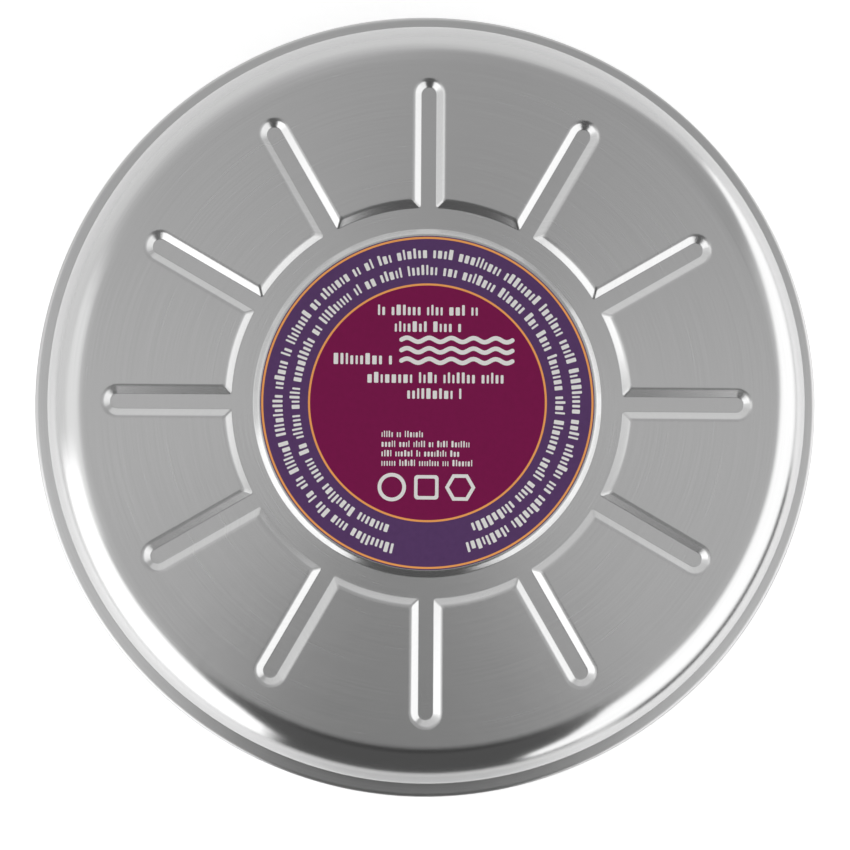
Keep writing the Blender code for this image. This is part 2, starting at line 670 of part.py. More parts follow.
def thermostat_body():
    """Cap, bracket, disc, pin guide and base, all turned about the thermostat's axis."""
    at = (THERMOSTAT_REACH, 0, 0)
    inner = CAP_RADIUS - CAP_WALL
    cap = [
        (0, CAP_TOP),
        (CAP_RADIUS, CAP_TOP),
        (CAP_RADIUS, CAP_FOOT + CAP_WALL),
        (CAP_RADIUS + CAP_FLANGE, CAP_FOOT + CAP_WALL),
        (CAP_RADIUS + CAP_FLANGE, CAP_FOOT),
        (inner, CAP_FOOT),
        (inner, CAP_TOP - CAP_WALL),
        (0, CAP_TOP - CAP_WALL),
    ]
    place("thermostat_cap", turned(cap), finish("thermostat_cap", (0.75, 0.76, 0.78), 0.3, 1), at)
    ears = [(0.0, side * BRACKET_REACH) for side in (-1, 1)]
    cloud = circle(CAP_RADIUS + CAP_FLANGE, ROUND_STEPS)
    for ear in ears:
        cloud += circle(BRACKET_EAR, ROUND_STEPS, ear)
    outline = [cloud[i] for i in convex_hull_2d(cloud)]
    holes = [circle(CAP_RADIUS + HOLE_GAP, ROUND_STEPS)]
    holes += [circle(CAP_SCREW_HOLE, ROUND_STEPS, ear) for ear in ears]
    low = CAP_FOOT + CAP_WALL + STACK_GAP
    bracket = slab(outline, low, low + BRACKET_THICKNESS, holes)
    place("thermostat_bracket", bracket, plated_steel("thermostat_bracket"), at)
    disc_radius = GUIDE_RADIUS - GUIDE_RIM_WIDTH / 2
    disc = [
        (0, DISC_EDGE + DISC_RISE),
        (disc_radius, DISC_EDGE),
        (disc_radius, DISC_EDGE + DISC_THICKNESS),
        (0, DISC_EDGE + DISC_RISE + DISC_THICKNESS),
    ]
    place("bimetal_disc", turned(disc), finish("bimetal_disc", (0.60, 0.58, 0.52), 0.3, 1), at)
    guide_bore = PIN_RADIUS + ARM_PLAY
    guide = [
        (guide_bore, GUIDE_BOTTOM),
        (GUIDE_RADIUS, GUIDE_BOTTOM),
        (GUIDE_RADIUS, GUIDE_RIM_TOP),
        (GUIDE_RADIUS - GUIDE_RIM_WIDTH, GUIDE_RIM_TOP),
        (GUIDE_RADIUS - GUIDE_RIM_WIDTH, GUIDE_TOP),
        (guide_bore, GUIDE_TOP),
    ]
    place("pin_guide", turned(guide), ceramic("pin_guide"), at)
    cup = [
        (0, BASE_BOTTOM),
        (GUIDE_RADIUS, BASE_BOTTOM),
        (GUIDE_RADIUS, BASE_TOP),
        (BASE_INNER, BASE_TOP),
        (BASE_INNER, BASE_INSIDE),
        (0, BASE_INSIDE),
    ]
    base = place("thermostat_base", turned(cup), black_moulding("thermostat_base"), at)
    for side in (-1, 1):
        near = side * (TERMINAL_REACH - HOLE_GAP)
        far = side * (TERMINAL_REACH + BLADE_THICKNESS + HOLE_GAP)
        half = ARM_WIDTH / 2 + HOLE_GAP
        outline = rectangle(min(near, far), -half, max(near, far), half)
        slot = slab(outline, BASE_BOTTOM - OVERRUN, BASE_INSIDE + OVERRUN)
        cutter = helper("base_slot_left" if side < 0 else "base_slot_right", slot)
        cutter.location = at
        combine(base, cutter, "DIFFERENCE")


def thermostat_works():
    """The pin, the contact arm and the two terminals, drawn in side view and extruded across."""
    at = (THERMOSTAT_REACH, 0, 0)
    pin = [
        (0, PIN_TOP),
        (PIN_RADIUS, PIN_TOP),
        (PIN_RADIUS, PIN_BOTTOM + PIN_TIP),
        (PIN_TIP_RADIUS, PIN_BOTTOM),
        (0, PIN_BOTTOM),
    ]
    pin = [(radius, height - PIN_TOP) for radius, height in pin]
    place("push_pin", turned(pin), ceramic("push_pin"), (THERMOSTAT_REACH, 0, PIN_TOP))
    half = ARM_WIDTH / 2
    tip = CONTACT_REACH + CONTACT_WIDTH / 2
    start = -ARM_SPAN - ARM_ROOT
    arm = [
        (start, ARM_BOTTOM),
        (tip, ARM_BOTTOM),
        (tip, ARM_TOP + CONTACT_HEIGHT),
        (tip - CONTACT_WIDTH, ARM_TOP + CONTACT_HEIGHT),
        (tip - CONTACT_WIDTH, ARM_TOP),
        (start, ARM_TOP),
    ]
    arm = [(x + ARM_SPAN, z - ARM_AXIS) for x, z in arm]
    hinge = (THERMOSTAT_REACH - ARM_SPAN, 0, ARM_AXIS)
    place("contact_arm", slab(arm, -half, half, along="Y"), brass("contact_arm"), hinge)
    inner = -TERMINAL_REACH
    outer = -TERMINAL_REACH - BLADE_THICKNESS
    seat = ARM_BOTTOM - STACK_GAP
    foot = [
        (outer, THERMOSTAT_BLADE_END),
        (inner, THERMOSTAT_BLADE_END),
        (inner, seat - BLADE_THICKNESS),
        (-ARM_SPAN, seat - BLADE_THICKNESS),
        (-ARM_SPAN, seat),
        (outer, seat),
    ]
    place("arm_terminal", slab(foot, -half, half, along="Y"), brass("arm_terminal"), at)
    inner = TERMINAL_REACH
    outer = TERMINAL_REACH + BLADE_THICKNESS
    contact = CONTACT_REACH - CONTACT_WIDTH / 2
    hook = [
        (inner, THERMOSTAT_BLADE_END),
        (outer, THERMOSTAT_BLADE_END),
        (outer, TERMINAL_TOP),
        (contact, TERMINAL_TOP),
        (contact, FIXED_CONTACT),
        (contact + CONTACT_WIDTH, FIXED_CONTACT),
        (contact + CONTACT_WIDTH, TERMINAL_TOP - BLADE_THICKNESS),
        (inner, TERMINAL_TOP - BLADE_THICKNESS),
    ]
    place("contact_terminal", slab(hook, -half, half, along="Y"), brass("contact_terminal"), at)


def thermostat_screws():
    shoulder = CAP_FOOT + CAP_WALL
    head_bottom = shoulder - CAP_SCREW_HEAD
    for number, centre in enumerate(thermostat_screw_places(), 1):
        name = f"thermostat_screw_{number}"
        profile = [
            (0, head_bottom),
            (CAP_SCREW_HEAD_RADIUS * HEAD_TOP_SHARE, head_bottom),
            (CAP_SCREW_HEAD_RADIUS, shoulder - CAP_SCREW_HEAD * HEAD_EDGE_SHARE),
            (CAP_SCREW_HEAD_RADIUS, shoulder),
            (CAP_SCREW_RADIUS, shoulder),
            (CAP_SCREW_RADIUS, PLATE_TOP),
            (0, PLATE_TOP),
        ]
        place(name, turned(profile), plated_steel(name), (*centre, 0))


def fuse():
    """The thermal fuse with its two wires, held to the plate by a strap and a rivet."""
    half = FUSE_LENGTH / 2
    profile = [
        (0, -half - FUSE_WIRE),
        (FUSE_WIRE_RADIUS, -half - FUSE_WIRE),
        (FUSE_WIRE_RADIUS, -half),
        (FUSE_RADIUS, -half),
        (FUSE_RADIUS, half),
        (FUSE_WIRE_RADIUS, half),
        (FUSE_WIRE_RADIUS, half + FUSE_WIRE),
        (0, half + FUSE_WIRE),
    ]
    body = turned(profile)
    bmesh.ops.rotate(body, cent=(0, 0, 0), matrix=Matrix.Rotation(math.pi / 2, 3, "Y"), verts=body.verts)
    look = finish("thermal_fuse", (0.66, 0.60, 0.45), 0.35, 1)
    place("thermal_fuse", body, look, (FUSE_OFFSET, FUSE_REACH, FUSE_HEIGHT))
    inner = FUSE_RADIUS + HOLE_GAP
    outer = inner + CLIP_THICKNESS
    top = PLATE_BOTTOM - STACK_GAP - FUSE_HEIGHT
    steps = ROUND_STEPS // 2
    arc = [math.pi + math.pi * step / steps for step in range(steps + 1)]
    strap = [(-inner, top)]
    strap += [polar(inner, angle) for angle in arc]
    strap += [(inner, top), (outer + CLIP_FOOT, top), (outer + CLIP_FOOT, top - CLIP_THICKNESS)]
    strap.append((outer, top - CLIP_THICKNESS))
    strap += [polar(outer, angle) for angle in reversed(arc)]
    strap.append((-outer, top))
    shape = slab(strap, -CLIP_WIDTH / 2, CLIP_WIDTH / 2, along="X")
    at = (FUSE_OFFSET, FUSE_REACH, FUSE_HEIGHT)
    clip = place("fuse_clip", shape, plated_steel("fuse_clip"), at)
    foot = PLATE_BOTTOM - STACK_GAP - CLIP_THICKNESS
    low = foot - OVERRUN
    hole = slab(circle(RIVET_HOLE, ROUND_STEPS, rivet_place()), low, PLATE_BOTTOM + OVERRUN)
    combine(clip, helper("clip_hole", hole), "DIFFERENCE")
    shoulder = foot - STACK_GAP
    rivet = [
        (0, shoulder - RIVET_HEAD),
        (RIVET_HEAD_RADIUS * HEAD_TOP_SHARE, shoulder - RIVET_HEAD),
        (RIVET_HEAD_RADIUS, shoulder - RIVET_HEAD * HEAD_EDGE_SHARE),
        (RIVET_HEAD_RADIUS, shoulder),
        (RIVET_RADIUS, shoulder),
        (RIVET_RADIUS, PLATE_TOP),
        (0, PLATE_TOP),
    ]
    place("clip_rivet", turned(rivet), brass("clip_rivet"), (*rivet_place(), 0))


def inlet_housing():
    """The black moulding: a flange let into the seat, and the socket's block behind it."""
    flange = circle(CENTRE_FLAT - HOUSING_FIT, RIM_STEPS)
    lens_hole = circle(LENS_RADIUS + HOLE_GAP, ROUND_STEPS, (0, -LENS_REACH))
    shape = slab(flange, FACE_RECESS, FLANGE_INSIDE, [lens_hole])
    housing = place("inlet_housing", shape, black_moulding("inlet_housing"))
    block = helper("inlet_block", slab(mouth_outline(HOUSING_WALL), FACE_RECESS + SHEET, HOUSING_TOP))
    combine(housing, block, "UNION")
    mouth = helper("inlet_mouth", slab(mouth_outline(0), FACE_RECESS - OVERRUN, MOUTH_FLOOR))
    combine(housing, mouth, "DIFFERENCE")
    for name, (x, y) in contact_places().items():
        half = BLADE_THICKNESS / 2 + STACK_GAP
        side = CONTACT_DEPTH / 2 + STACK_GAP
        outline = rectangle(x - half, y - side, x + half, y + side)
        slot = helper(name + "_slot", slab(outline, MOUTH_FLOOR - OVERRUN, HOUSING_TOP + OVERRUN))
        combine(housing, slot, "DIFFERENCE")
    head_radius = HOUSING_SCREW_HEAD_RADIUS + HOLE_GAP
    face = FACE_RECESS + HOUSING_SCREW_SINK
    sink = [
        (0, FACE_RECESS - OVERRUN),
        (head_radius, FACE_RECESS - OVERRUN),
        (head_radius, face),
        (HOUSING_SCREW_RADIUS + HOLE_GAP, face + HOUSING_SCREW_HEAD),
        (HOUSING_SCREW_RADIUS + HOLE_GAP, FLANGE_INSIDE + OVERRUN),
        (0, FLANGE_INSIDE + OVERRUN),
    ]
    for number, centre in enumerate(screw_places(), 1):
        cutter = helper(f"screw_sink_{number}", turned(sink, centre=centre))
        combine(housing, cutter, "DIFFERENCE")


def contact_places():
    return {
        "line_pin": (CONTACT_PITCH / 2, -EARTH_SHIFT),
        "neutral_pin": (-CONTACT_PITCH / 2, -EARTH_SHIFT),
        "earth_pin": (0.0, EARTH_SHIFT),
    }


def inlet_pins():
    """Flat pins with a nose at the mouth, a shoulder on the floor and a thin blade behind it."""
    thick = CONTACT_THICKNESS / 2
    thin = BLADE_THICKNESS / 2
    shoulder = MOUTH_FLOOR - STACK_GAP
    tip = FACE_RECESS + CONTACT_SINK
    outline = [
        (-thin, INLET_BLADE_END),
        (-thin, shoulder),
        (-thick, shoulder),
        (-thick, tip + CONTACT_NOSE),
        (CONTACT_NOSE - thick, tip),
        (thick - CONTACT_NOSE, tip),
        (thick, tip + CONTACT_NOSE),
        (thick, shoulder),
        (thin, shoulder),
        (thin, INLET_BLADE_END),
    ]
    for name, (x, y) in contact_places().items():
        shape = slab(outline, -CONTACT_DEPTH / 2, CONTACT_DEPTH / 2, along="Y")
        place(name, shape, plated_steel(name), (x, y, 0))


def housing_fixings():
    """The backing ring inside the shell and the countersunk screws that pull the flange to it."""
    low = SEAT_INSIDE + STACK_GAP
    holes = [circle(RING_INNER, DISC_STEPS)]
    hole = HOUSING_SCREW_RADIUS + HOLE_GAP
    holes += [circle(hole, ROUND_STEPS, centre) for centre in screw_places()]
    outline = circle(HOUSING_SCREW_CIRCLE + RING_HALF_WIDTH, DISC_STEPS)
    ring = slab(outline, low, low + RING_THICKNESS, holes)
    place("housing_ring", ring, plated_steel("housing_ring"))
    face = FACE_RECESS + HOUSING_SCREW_SINK
    profile = [
        (0, face),
        (HOUSING_SCREW_HEAD_RADIUS, face),
        (HOUSING_SCREW_RADIUS, face + HOUSING_SCREW_HEAD),
        (HOUSING_SCREW_RADIUS, face + HOUSING_SCREW_LENGTH),
        (0, face + HOUSING_SCREW_LENGTH),
    ]
    for number, centre in enumerate(screw_places(), 1):
        name = f"housing_screw_{number}"
        place(name, turned(profile), plated_steel(name), (*centre, 0))


def pilot_lamp():
    """A lens pushed through the flange from inside, and the neon lamp that glows in it."""
    at = (0, -LENS_REACH, 0)
    shoulder = FLANGE_INSIDE + STACK_GAP
    inner = LENS_RADIUS - LENS_WALL
    profile = [
        (0, FACE_RECESS),
        (inner, FACE_RECESS + LENS_CROWN * CROWN_EDGE_SHARE),
        (LENS_RADIUS, FACE_RECESS + LENS_CROWN),
        (LENS_RADIUS, shoulder),
        (LENS_RADIUS + LENS_SHOULDER, shoulder),
        (LENS_RADIUS + LENS_SHOULDER, shoulder + LENS_SHOULDER_THICKNESS),
        (LENS_RADIUS, shoulder + LENS_SHOULDER_THICKNESS),
        (LENS_RADIUS, LENS_DEPTH),
        (inner, LENS_DEPTH),
        (inner, FACE_RECESS + LENS_CROWN + LENS_WALL),
        (0, FACE_RECESS + LENS_CROWN + LENS_WALL),
    ]
    place("lamp_lens", turned(profile), finish("lamp_lens", (0.75, 0.05, 0.02), 0.15), at)
    low = LAMP_TOP - LAMP_LENGTH
    lamp = [
        (0, low),
        (LAMP_RADIUS * HEAD_TOP_SHARE, low + LAMP_RADIUS * LAMP_TIP_SHARE),
        (LAMP_RADIUS, low + LAMP_RADIUS),
        (LAMP_RADIUS, LAMP_TOP),
        (0, LAMP_TOP),
    ]
    place("neon_lamp", turned(lamp), finish("neon_lamp", (0.95, 0.80, 0.70), 0.08), at)
    foot = LAMP_TOP + LEAD_GAP
    body = slab(circle(RESISTOR_RADIUS, ROUND_STEPS // 2), foot, foot + RESISTOR_LENGTH)
    look = finish("lamp_resistor", (0.62, 0.50, 0.33), 0.5)
    place("lamp_resistor", body, look, (-LAMP_LEGS, -LENS_REACH, 0))


def lead(name, colour, start, leave, end, arrive, radius=LEAD_RADIUS, rise=None, fall=None):
    """A sleeved lead on one smooth curve, leaving and arriving along the blades that it joins."""
    leave, arrive = Vector(leave), Vector(arrive)
    ends = (Vector(start) + leave * LEAD_GAP, Vector(end) - arrive * LEAD_GAP)
    first = ends[0] + leave * 2 * radius
    last = ends[1] - arrive * 2 * radius
    reach = (last - first).length * LEAD_BEND_SHARE
    second = first + leave * (rise or reach)
    third = last - arrive * (fall or reach)
    path = [ends[0]]
    for step in range(LEAD_POINTS):
        t = step / (LEAD_POINTS - 1)
        s = 1 - t
        path.append(s**3 * first + 3 * s**2 * t * second + 3 * s * t**2 * third + t**3 * last)
    path.append(ends[1])
    curve = bpy.data.curves.new(name, "CURVE")
    curve.dimensions = "3D"
    curve.bevel_depth = radius
    curve.bevel_resolution = 1
    curve.use_fill_caps = True
    spline = curve.splines.new("POLY")
    spline.points.add(len(path) - 1)
    for point, place_of in zip(spline.points, path):
        point.co = (*place_of, 1)
    curve.materials.append(sleeve(name, colour))
    bpy.context.scene.collection.objects.link(bpy.data.objects.new(name, curve))


def leads():
    up, down = (0, 0, 1), (0, 0, -1)
    pins = contact_places()
    blade_middle = TERMINAL_REACH + BLADE_THICKNESS / 2
    near = (THERMOSTAT_REACH - blade_middle, 0, THERMOSTAT_BLADE_END)
    far = (THERMOSTAT_REACH + blade_middle, 0, THERMOSTAT_BLADE_END)
    post_end = PLATE_BOTTOM - BUSH_COLLAR - 2 * STACK_GAP - BLADE_LENGTH
    fuse_post, thermostat_post = [(*centre, post_end) for centre in post_places()]
    fuse_end = FUSE_LENGTH / 2 + FUSE_WIRE
    white = (0.80, 0.79, 0.75)
    line = (*pins["line_pin"], INLET_BLADE_END)
    lead("line_lead", (0.16, 0.07, 0.03), line, up, near, up, rise=INLET_RISE)
    lead("thermostat_lead", white, far, down, thermostat_post, up)
    lead("fuse_lead", white, fuse_post, down, (FUSE_OFFSET + fuse_end, FUSE_REACH, FUSE_HEIGHT), (-1, 0, 0))
    neutral = (*pins["neutral_pin"], INLET_BLADE_END)
    blue = (0.02, 0.07, 0.30)
    wire_end = (FUSE_OFFSET - fuse_end, FUSE_REACH, FUSE_HEIGHT)
    lead("neutral_lead", blue, wire_end, (-1, 0, 0), neutral, down, fall=INLET_RISE)
    tab_top = SHEET + STACK_GAP + BLADE_LENGTH
    tab = (*polar(EARTH_TAB_CIRCLE, EARTH_TAB_ANGLE), tab_top)
    earth = (*pins["earth_pin"], INLET_BLADE_END)
    lead("earth_lead", (0.25, 0.42, 0.04), earth, up, tab, down, rise=INLET_RISE)
    join = (HOUSING_TOP + INLET_BLADE_END) / 2
    edge = -EARTH_SHIFT - CONTACT_DEPTH / 2
    inward = (0, 1, 0)
    resistor_top = LAMP_TOP + LEAD_GAP + RESISTOR_LENGTH
    start = (-LAMP_LEGS, -LENS_REACH, resistor_top)
    end = (pins["neutral_pin"][0], edge, join)
    lead("lamp_neutral_lead", blue, start, up, end, inward, LAMP_LEAD_RADIUS)
    end = (pins["line_pin"][0], edge, join)
    lead("lamp_line_lead", white, (LAMP_LEGS, -LENS_REACH, LAMP_TOP), up, end, inward, LAMP_LEAD_RADIUS)


def earth_tab():
    """A bent strip welded to the inside of the rear shell, between two grooves."""
    low = SHEET + STACK_GAP
    half = BLADE_THICKNESS / 2
    outline = [
        (-half, low),
        (EARTH_TAB_FOOT, low),
        (EARTH_TAB_FOOT, low + BLADE_THICKNESS),
        (half, low + BLADE_THICKNESS),
        (half, low + BLADE_LENGTH),
        (-half, low + BLADE_LENGTH),
    ]
    shape = slab(outline, -BLADE_WIDTH / 2, BLADE_WIDTH / 2, along="Y")
    at = (*polar(EARTH_TAB_CIRCLE, EARTH_TAB_ANGLE), 0)
    place("earth_tab", shape, plated_steel("earth_tab"), at, EARTH_TAB_ANGLE)


def main():
    for old in list(bpy.data.objects):
        bpy.data.objects.remove(old, do_unlink=True)
    front_shell()
    rear_shell()
    rating_label()
    heater()
    clamp_stack()
    heater_posts()
    thermostat_body()
    thermostat_works()
    thermostat_screws()
    fuse()
    inlet_housing()
    inlet_pins()
    housing_fixings()
    pilot_lamp()
    leads()
    earth_tab()


main()
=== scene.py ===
import math
import random

import bmesh
import bpy
from mathutils import Matrix, Vector
from mathutils.geometry import convex_hull_2d


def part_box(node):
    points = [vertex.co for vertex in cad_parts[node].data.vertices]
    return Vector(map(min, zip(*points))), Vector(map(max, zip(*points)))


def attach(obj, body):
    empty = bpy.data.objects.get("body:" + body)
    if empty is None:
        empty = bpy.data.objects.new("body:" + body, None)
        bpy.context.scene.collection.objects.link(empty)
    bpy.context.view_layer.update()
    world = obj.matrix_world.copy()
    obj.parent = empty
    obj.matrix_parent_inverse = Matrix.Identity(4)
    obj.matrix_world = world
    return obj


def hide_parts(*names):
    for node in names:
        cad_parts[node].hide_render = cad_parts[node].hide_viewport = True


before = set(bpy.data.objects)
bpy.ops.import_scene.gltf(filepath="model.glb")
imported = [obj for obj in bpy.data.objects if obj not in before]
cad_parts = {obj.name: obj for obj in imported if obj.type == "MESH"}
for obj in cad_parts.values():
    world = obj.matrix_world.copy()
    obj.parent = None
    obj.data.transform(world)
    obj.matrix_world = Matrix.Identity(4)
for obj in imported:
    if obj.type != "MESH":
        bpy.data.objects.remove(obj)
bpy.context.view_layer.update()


# The studio: a pale table top in a pale room, a tall window on the right, a smaller one at the lower
# left, and the dark side that the picture is taken from. The camera hangs over the label, a little to
# the lower left, and looks straight down at it.
FACE_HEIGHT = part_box("front_shell")[1].z
CAMERA_RISE = 1.241
CAMERA_ASIDE = Vector((-0.0275, -0.0505, 0.0))
AIM = Vector((-0.0007, -0.0066, FACE_HEIGHT))
LENS = 178.1
ROLL = math.radians(-0.35)
ROOM_RADIUS = 3.0
NEAR_WALL = 2.95
WINDOW_RADIUS = 0.35
CARD_RADIUS = 0.3
CARD_GRID = (40, 16)
FLOOR_HALF = 6.0
FLOOR_DROP = 0.0003
HORIZON_TO_ZENITH = (0.3, 0.99)
HORIZON_LIGHT = 0.92
ZENITH_LIGHT = 0.56
TABLE_GLOW = 0.42
MIRRORED_GLOW = 0.27
TABLE_WHITE = (0.93, 0.93, 0.93, 1)
# SHADED_SPOT and SHADED_REACH place a painted shadow on the table: a soft round patch where its glow for glossy
# rays fades out, seen only in the steel's reflections.
SHADED_SPOT = (0.0, -0.2, -FLOOR_DROP)
SHADED_REACH = (0.04, 0.10)
SEE_THROUGH = 0.03


def look_down(camera, target):
    """Turn the camera at its target with the picture's up along +Y, but for a slight roll."""
    ahead = (target - camera.location).normalized()
    right = ahead.cross(Vector((math.sin(ROLL), math.cos(ROLL), 0))).normalized()
    up = right.cross(ahead)
    camera.rotation_euler = Matrix((right, up, -ahead)).transposed().to_euler()


def put_in_scene(name, data):
    made = bpy.data.objects.new(name, data)
    bpy.context.scene.collection.objects.link(made)
    return made


camera = put_in_scene("camera", bpy.data.cameras.new("camera"))
camera.data.lens = LENS
camera.data.clip_end = 4 * FLOOR_HALF
camera.location = CAMERA_ASIDE + Vector((0, 0, FACE_HEIGHT + CAMERA_RISE))
look_down(camera, AIM)
bpy.context.scene.camera = camera
bpy.context.scene.view_settings.view_transform = "Standard"


def new_material(name):
    """A node material with its tree and its Principled shader."""
    made = bpy.data.materials.new(name)
    made.use_nodes = True
    tree = made.node_tree
    return made, tree, tree.nodes["Principled BSDF"]


def add_node(tree, kind, **settings):
    """A node with its settings."""
    made = tree.nodes.new(kind)
    for key, value in settings.items():
        setattr(made, key, value)
    return made


def maths(tree, operation, *values, clamp=False):
    """A Math node whose inputs are sockets or plain numbers; its result."""
    made = add_node(tree, "ShaderNodeMath", operation=operation, use_clamp=clamp)
    for socket, value in zip(made.inputs, values):
        if isinstance(value, bpy.types.NodeSocket):
            tree.links.new(value, socket)
        else:
            socket.default_value = value
    return made.outputs[0]


def smooth_between(tree, value, low, high):
    """0 below low, 1 above high and an even curve between them; low may be the larger one."""
    made = add_node(tree, "ShaderNodeMapRange", interpolation_type="SMOOTHSTEP")
    tree.links.new(value, made.inputs["Value"])
    made.inputs["From Min"].default_value = low
    made.inputs["From Max"].default_value = high
    return made.outputs["Result"]


def spread(tree, value, low, high, socket=None):
    """Spread a 0 to 1 value over a range, and feed it to a socket where one is given."""
    made = add_node(tree, "ShaderNodeMapRange")
    tree.links.new(value, made.inputs["Value"])
    made.inputs["To Min"].default_value = low
    made.inputs["To Max"].default_value = high
    if socket is not None:
        tree.links.new(made.outputs["Result"], socket)
    return made.outputs["Result"]


def object_place(tree):
    """The shaded place in Object coordinates."""
    return add_node(tree, "ShaderNodeTexCoord").outputs["Object"]


def axes(tree, vector):
    """A vector's X, Y and Z, by name."""
    made = add_node(tree, "ShaderNodeSeparateXYZ")
    tree.links.new(vector, made.inputs[0])
    return made.outputs


def mixed_surface(tree, share, first, second):
    """Give a material a mix of two shaders as its surface."""
    made = add_node(tree, "ShaderNodeMixShader")
    for socket, value in zip(made.inputs, (share, first, second)):
        tree.links.new(value, socket)
    tree.links.new(made.outputs[0], tree.nodes["Material Output"].inputs["Surface"])


def make_piece(name, shape, look):
    """An object at the origin with its place in its mesh."""
    mesh = bpy.data.meshes.new(name)
    shape.to_mesh(mesh)
    shape.free()
    mesh.materials.append(look)
    return put_in_scene(name, mesh)


room = bpy.data.worlds.new("room")
room.use_nodes = True
bpy.context.scene.world = room
sky = room.node_tree
height = axes(sky, add_node(sky, "ShaderNodeTexCoord").outputs["Generated"])["Z"]
climb = smooth_between(sky, maths(sky, "ABSOLUTE", height), *HORIZON_TO_ZENITH)
spread(sky, climb, HORIZON_LIGHT, ZENITH_LIGHT, sky.nodes["Background"].inputs["Strength"])
sky.nodes["Background"].inputs["Color"].default_value = (1, 1, 1, 1)


def dome_card(name, azimuths, tops, feet, strength, fade, away=ROOM_RADIUS):
    """A patch of the room's dome between two lines of tilts from straight up, and its mirror below."""
    columns, rows = CARD_GRID
    card = bmesh.new()
    sides = card.loops.layers.uv.new("edge")
    grid = []
    for column in range(columns + 1):
        share = column / columns * (len(azimuths) - 1)
        first = min(int(share), len(azimuths) - 2)
        part = share - first
        azimuth, top, foot = (math.radians(line[first] * (1 - part) + line[first + 1] * part)
                              for line in (azimuths, tops, feet))
        line = []
        for row in range(rows + 1):
            tilt = top + (foot - top) * row / rows
            flat = away * math.sin(tilt)
            corner = (flat * math.cos(azimuth), flat * math.sin(azimuth), away * math.cos(tilt))
            line.append(card.verts.new(corner))
        grid.append(line)
    for column in range(columns):
        for row in range(rows):
            corners = ((column, row), (column, row + 1), (column + 1, row + 1), (column + 1, row))
            face = card.faces.new([grid[c][r] for c, r in corners])
            for loop, (c, r) in zip(face.loops, corners):
                loop[sides].uv = (c / columns, r / rows)
    below = bmesh.ops.duplicate(card, geom=card.verts[:] + card.edges[:] + card.faces[:])
    low = [item for item in below["geom"] if isinstance(item, bmesh.types.BMVert)]
    bmesh.ops.scale(card, vec=(1, 1, -1), verts=low)
    look, tree, shader = new_material(name)
    tree.nodes.remove(shader)
    across = axes(tree, add_node(tree, "ShaderNodeUVMap", uv_map="edge").outputs[0])
    masks = []
    for axis, share in zip("XY", fade):
        inward = maths(tree, "MINIMUM", across[axis], maths(tree, "SUBTRACT", 1.0, across[axis]))
        masks.append(smooth_between(tree, inward, 0.0, share))
    glow = add_node(tree, "ShaderNodeEmission")
    glow.inputs["Strength"].default_value = strength
    clear = add_node(tree, "ShaderNodeBsdfTransparent")
    mixed_surface(tree, maths(tree, "MULTIPLY", *masks), clear.outputs[0], glow.outputs[0])
    made = make_piece(name, card, look)
    made.visible_camera = False
    made.visible_diffuse = away > CARD_RADIUS


dome_card("dark_side", (-136, -118, -92, -66, -47), (6, 1, 1, 1, 6), (96, 96, 96, 96, 60), 0.11, (0.2, 0.06))
dome_card("dim_top", (22, 34, 48, 70, 105), (4, 4, 4, 4, 4), (50, 78, 80, 52, 40), 0.46, (0.2, 0.15))
dome_card("wall_left", (145, 180, 205), (12, 10, 12), (60, 70, 70), 1.14, (0.25, 0.3))
dome_card("window_right", (-75, -65, -57, -45, -30, 0, 16, 30, 44), (72, 60, 40, 36, 38, 41, 49, 62, 80),
          (81, 81, 82, 83, 84, 87, 87, 87, 86), 1.6, (0.05, 0.16), WINDOW_RADIUS)
dome_card("window_left", (-178, -160, -140, -132, -122, -112), (42, 39, 35, 37, 46, 66),
          (80, 85, 88, 88, 88, 86), 1.9, (0.12, 0.14), WINDOW_RADIUS)
dome_card("dark_near", (-118, -88, -55), (1, 1, 1), (25, 25, 25), 0.02, (0.25, 0.3), NEAR_WALL)
dome_card("low_dark", (-60, -5), (79, 80), (93, 93), 0.06, (0.16, 0.3), CARD_RADIUS)

floor_shape = bmesh.new()
bmesh.ops.create_grid(floor_shape, x_segments=1, y_segments=1, size=FLOOR_HALF)
bmesh.ops.translate(floor_shape, vec=(0, 0, -FLOOR_DROP), verts=floor_shape.verts)
table_look, table_tree, table_shader = new_material("pale_table")
table_shader.inputs["Base Color"].default_value = TABLE_WHITE
table_shader.inputs["Roughness"].default_value = 0.7
table_shader.inputs["Specular IOR Level"].default_value = 0.2
seen_from = add_node(table_tree, "ShaderNodeNewGeometry")
ray = add_node(table_tree, "ShaderNodeLightPath")
mirrored = maths(table_tree, "ADD", ray.outputs["Is Glossy Ray"], ray.outputs["Is Transmission Ray"], clamp=True)
# Painted shadow in the reflections: the table's glow for glossy rays fades out near SHADED_SPOT, so the steel
# mirrors a dark patch that no object casts.
from_spot = add_node(table_tree, "ShaderNodeVectorMath", operation="DISTANCE")
from_spot.inputs[1].default_value = SHADED_SPOT
table_tree.links.new(object_place(table_tree), from_spot.inputs[0])
unshaded = smooth_between(table_tree, from_spot.outputs["Value"], *SHADED_REACH)
in_metal = maths(table_tree, "MULTIPLY", mirrored, maths(table_tree, "MULTIPLY", unshaded, MIRRORED_GLOW))
in_view = maths(table_tree, "MULTIPLY", ray.outputs["Is Camera Ray"], TABLE_GLOW)
glow = add_node(table_tree, "ShaderNodeEmission")
table_tree.links.new(maths(table_tree, "ADD", in_view, in_metal), glow.inputs["Strength"])
lit = add_node(table_tree, "ShaderNodeAddShader")
table_tree.links.new(table_shader.outputs[0], lit.inputs[0])
table_tree.links.new(glow.outputs[0], lit.inputs[1])
close = maths(table_tree, "LESS_THAN", ray.outputs["Ray Length"], SEE_THROUGH)
opened = maths(table_tree, "MAXIMUM", seen_from.outputs["Backfacing"], close)
under_side = add_node(table_tree, "ShaderNodeBsdfTransparent")
mixed_surface(table_tree, opened, lit.outputs[0], under_side.outputs[0])
table_top = make_piece("table_top", floor_shape, table_look)


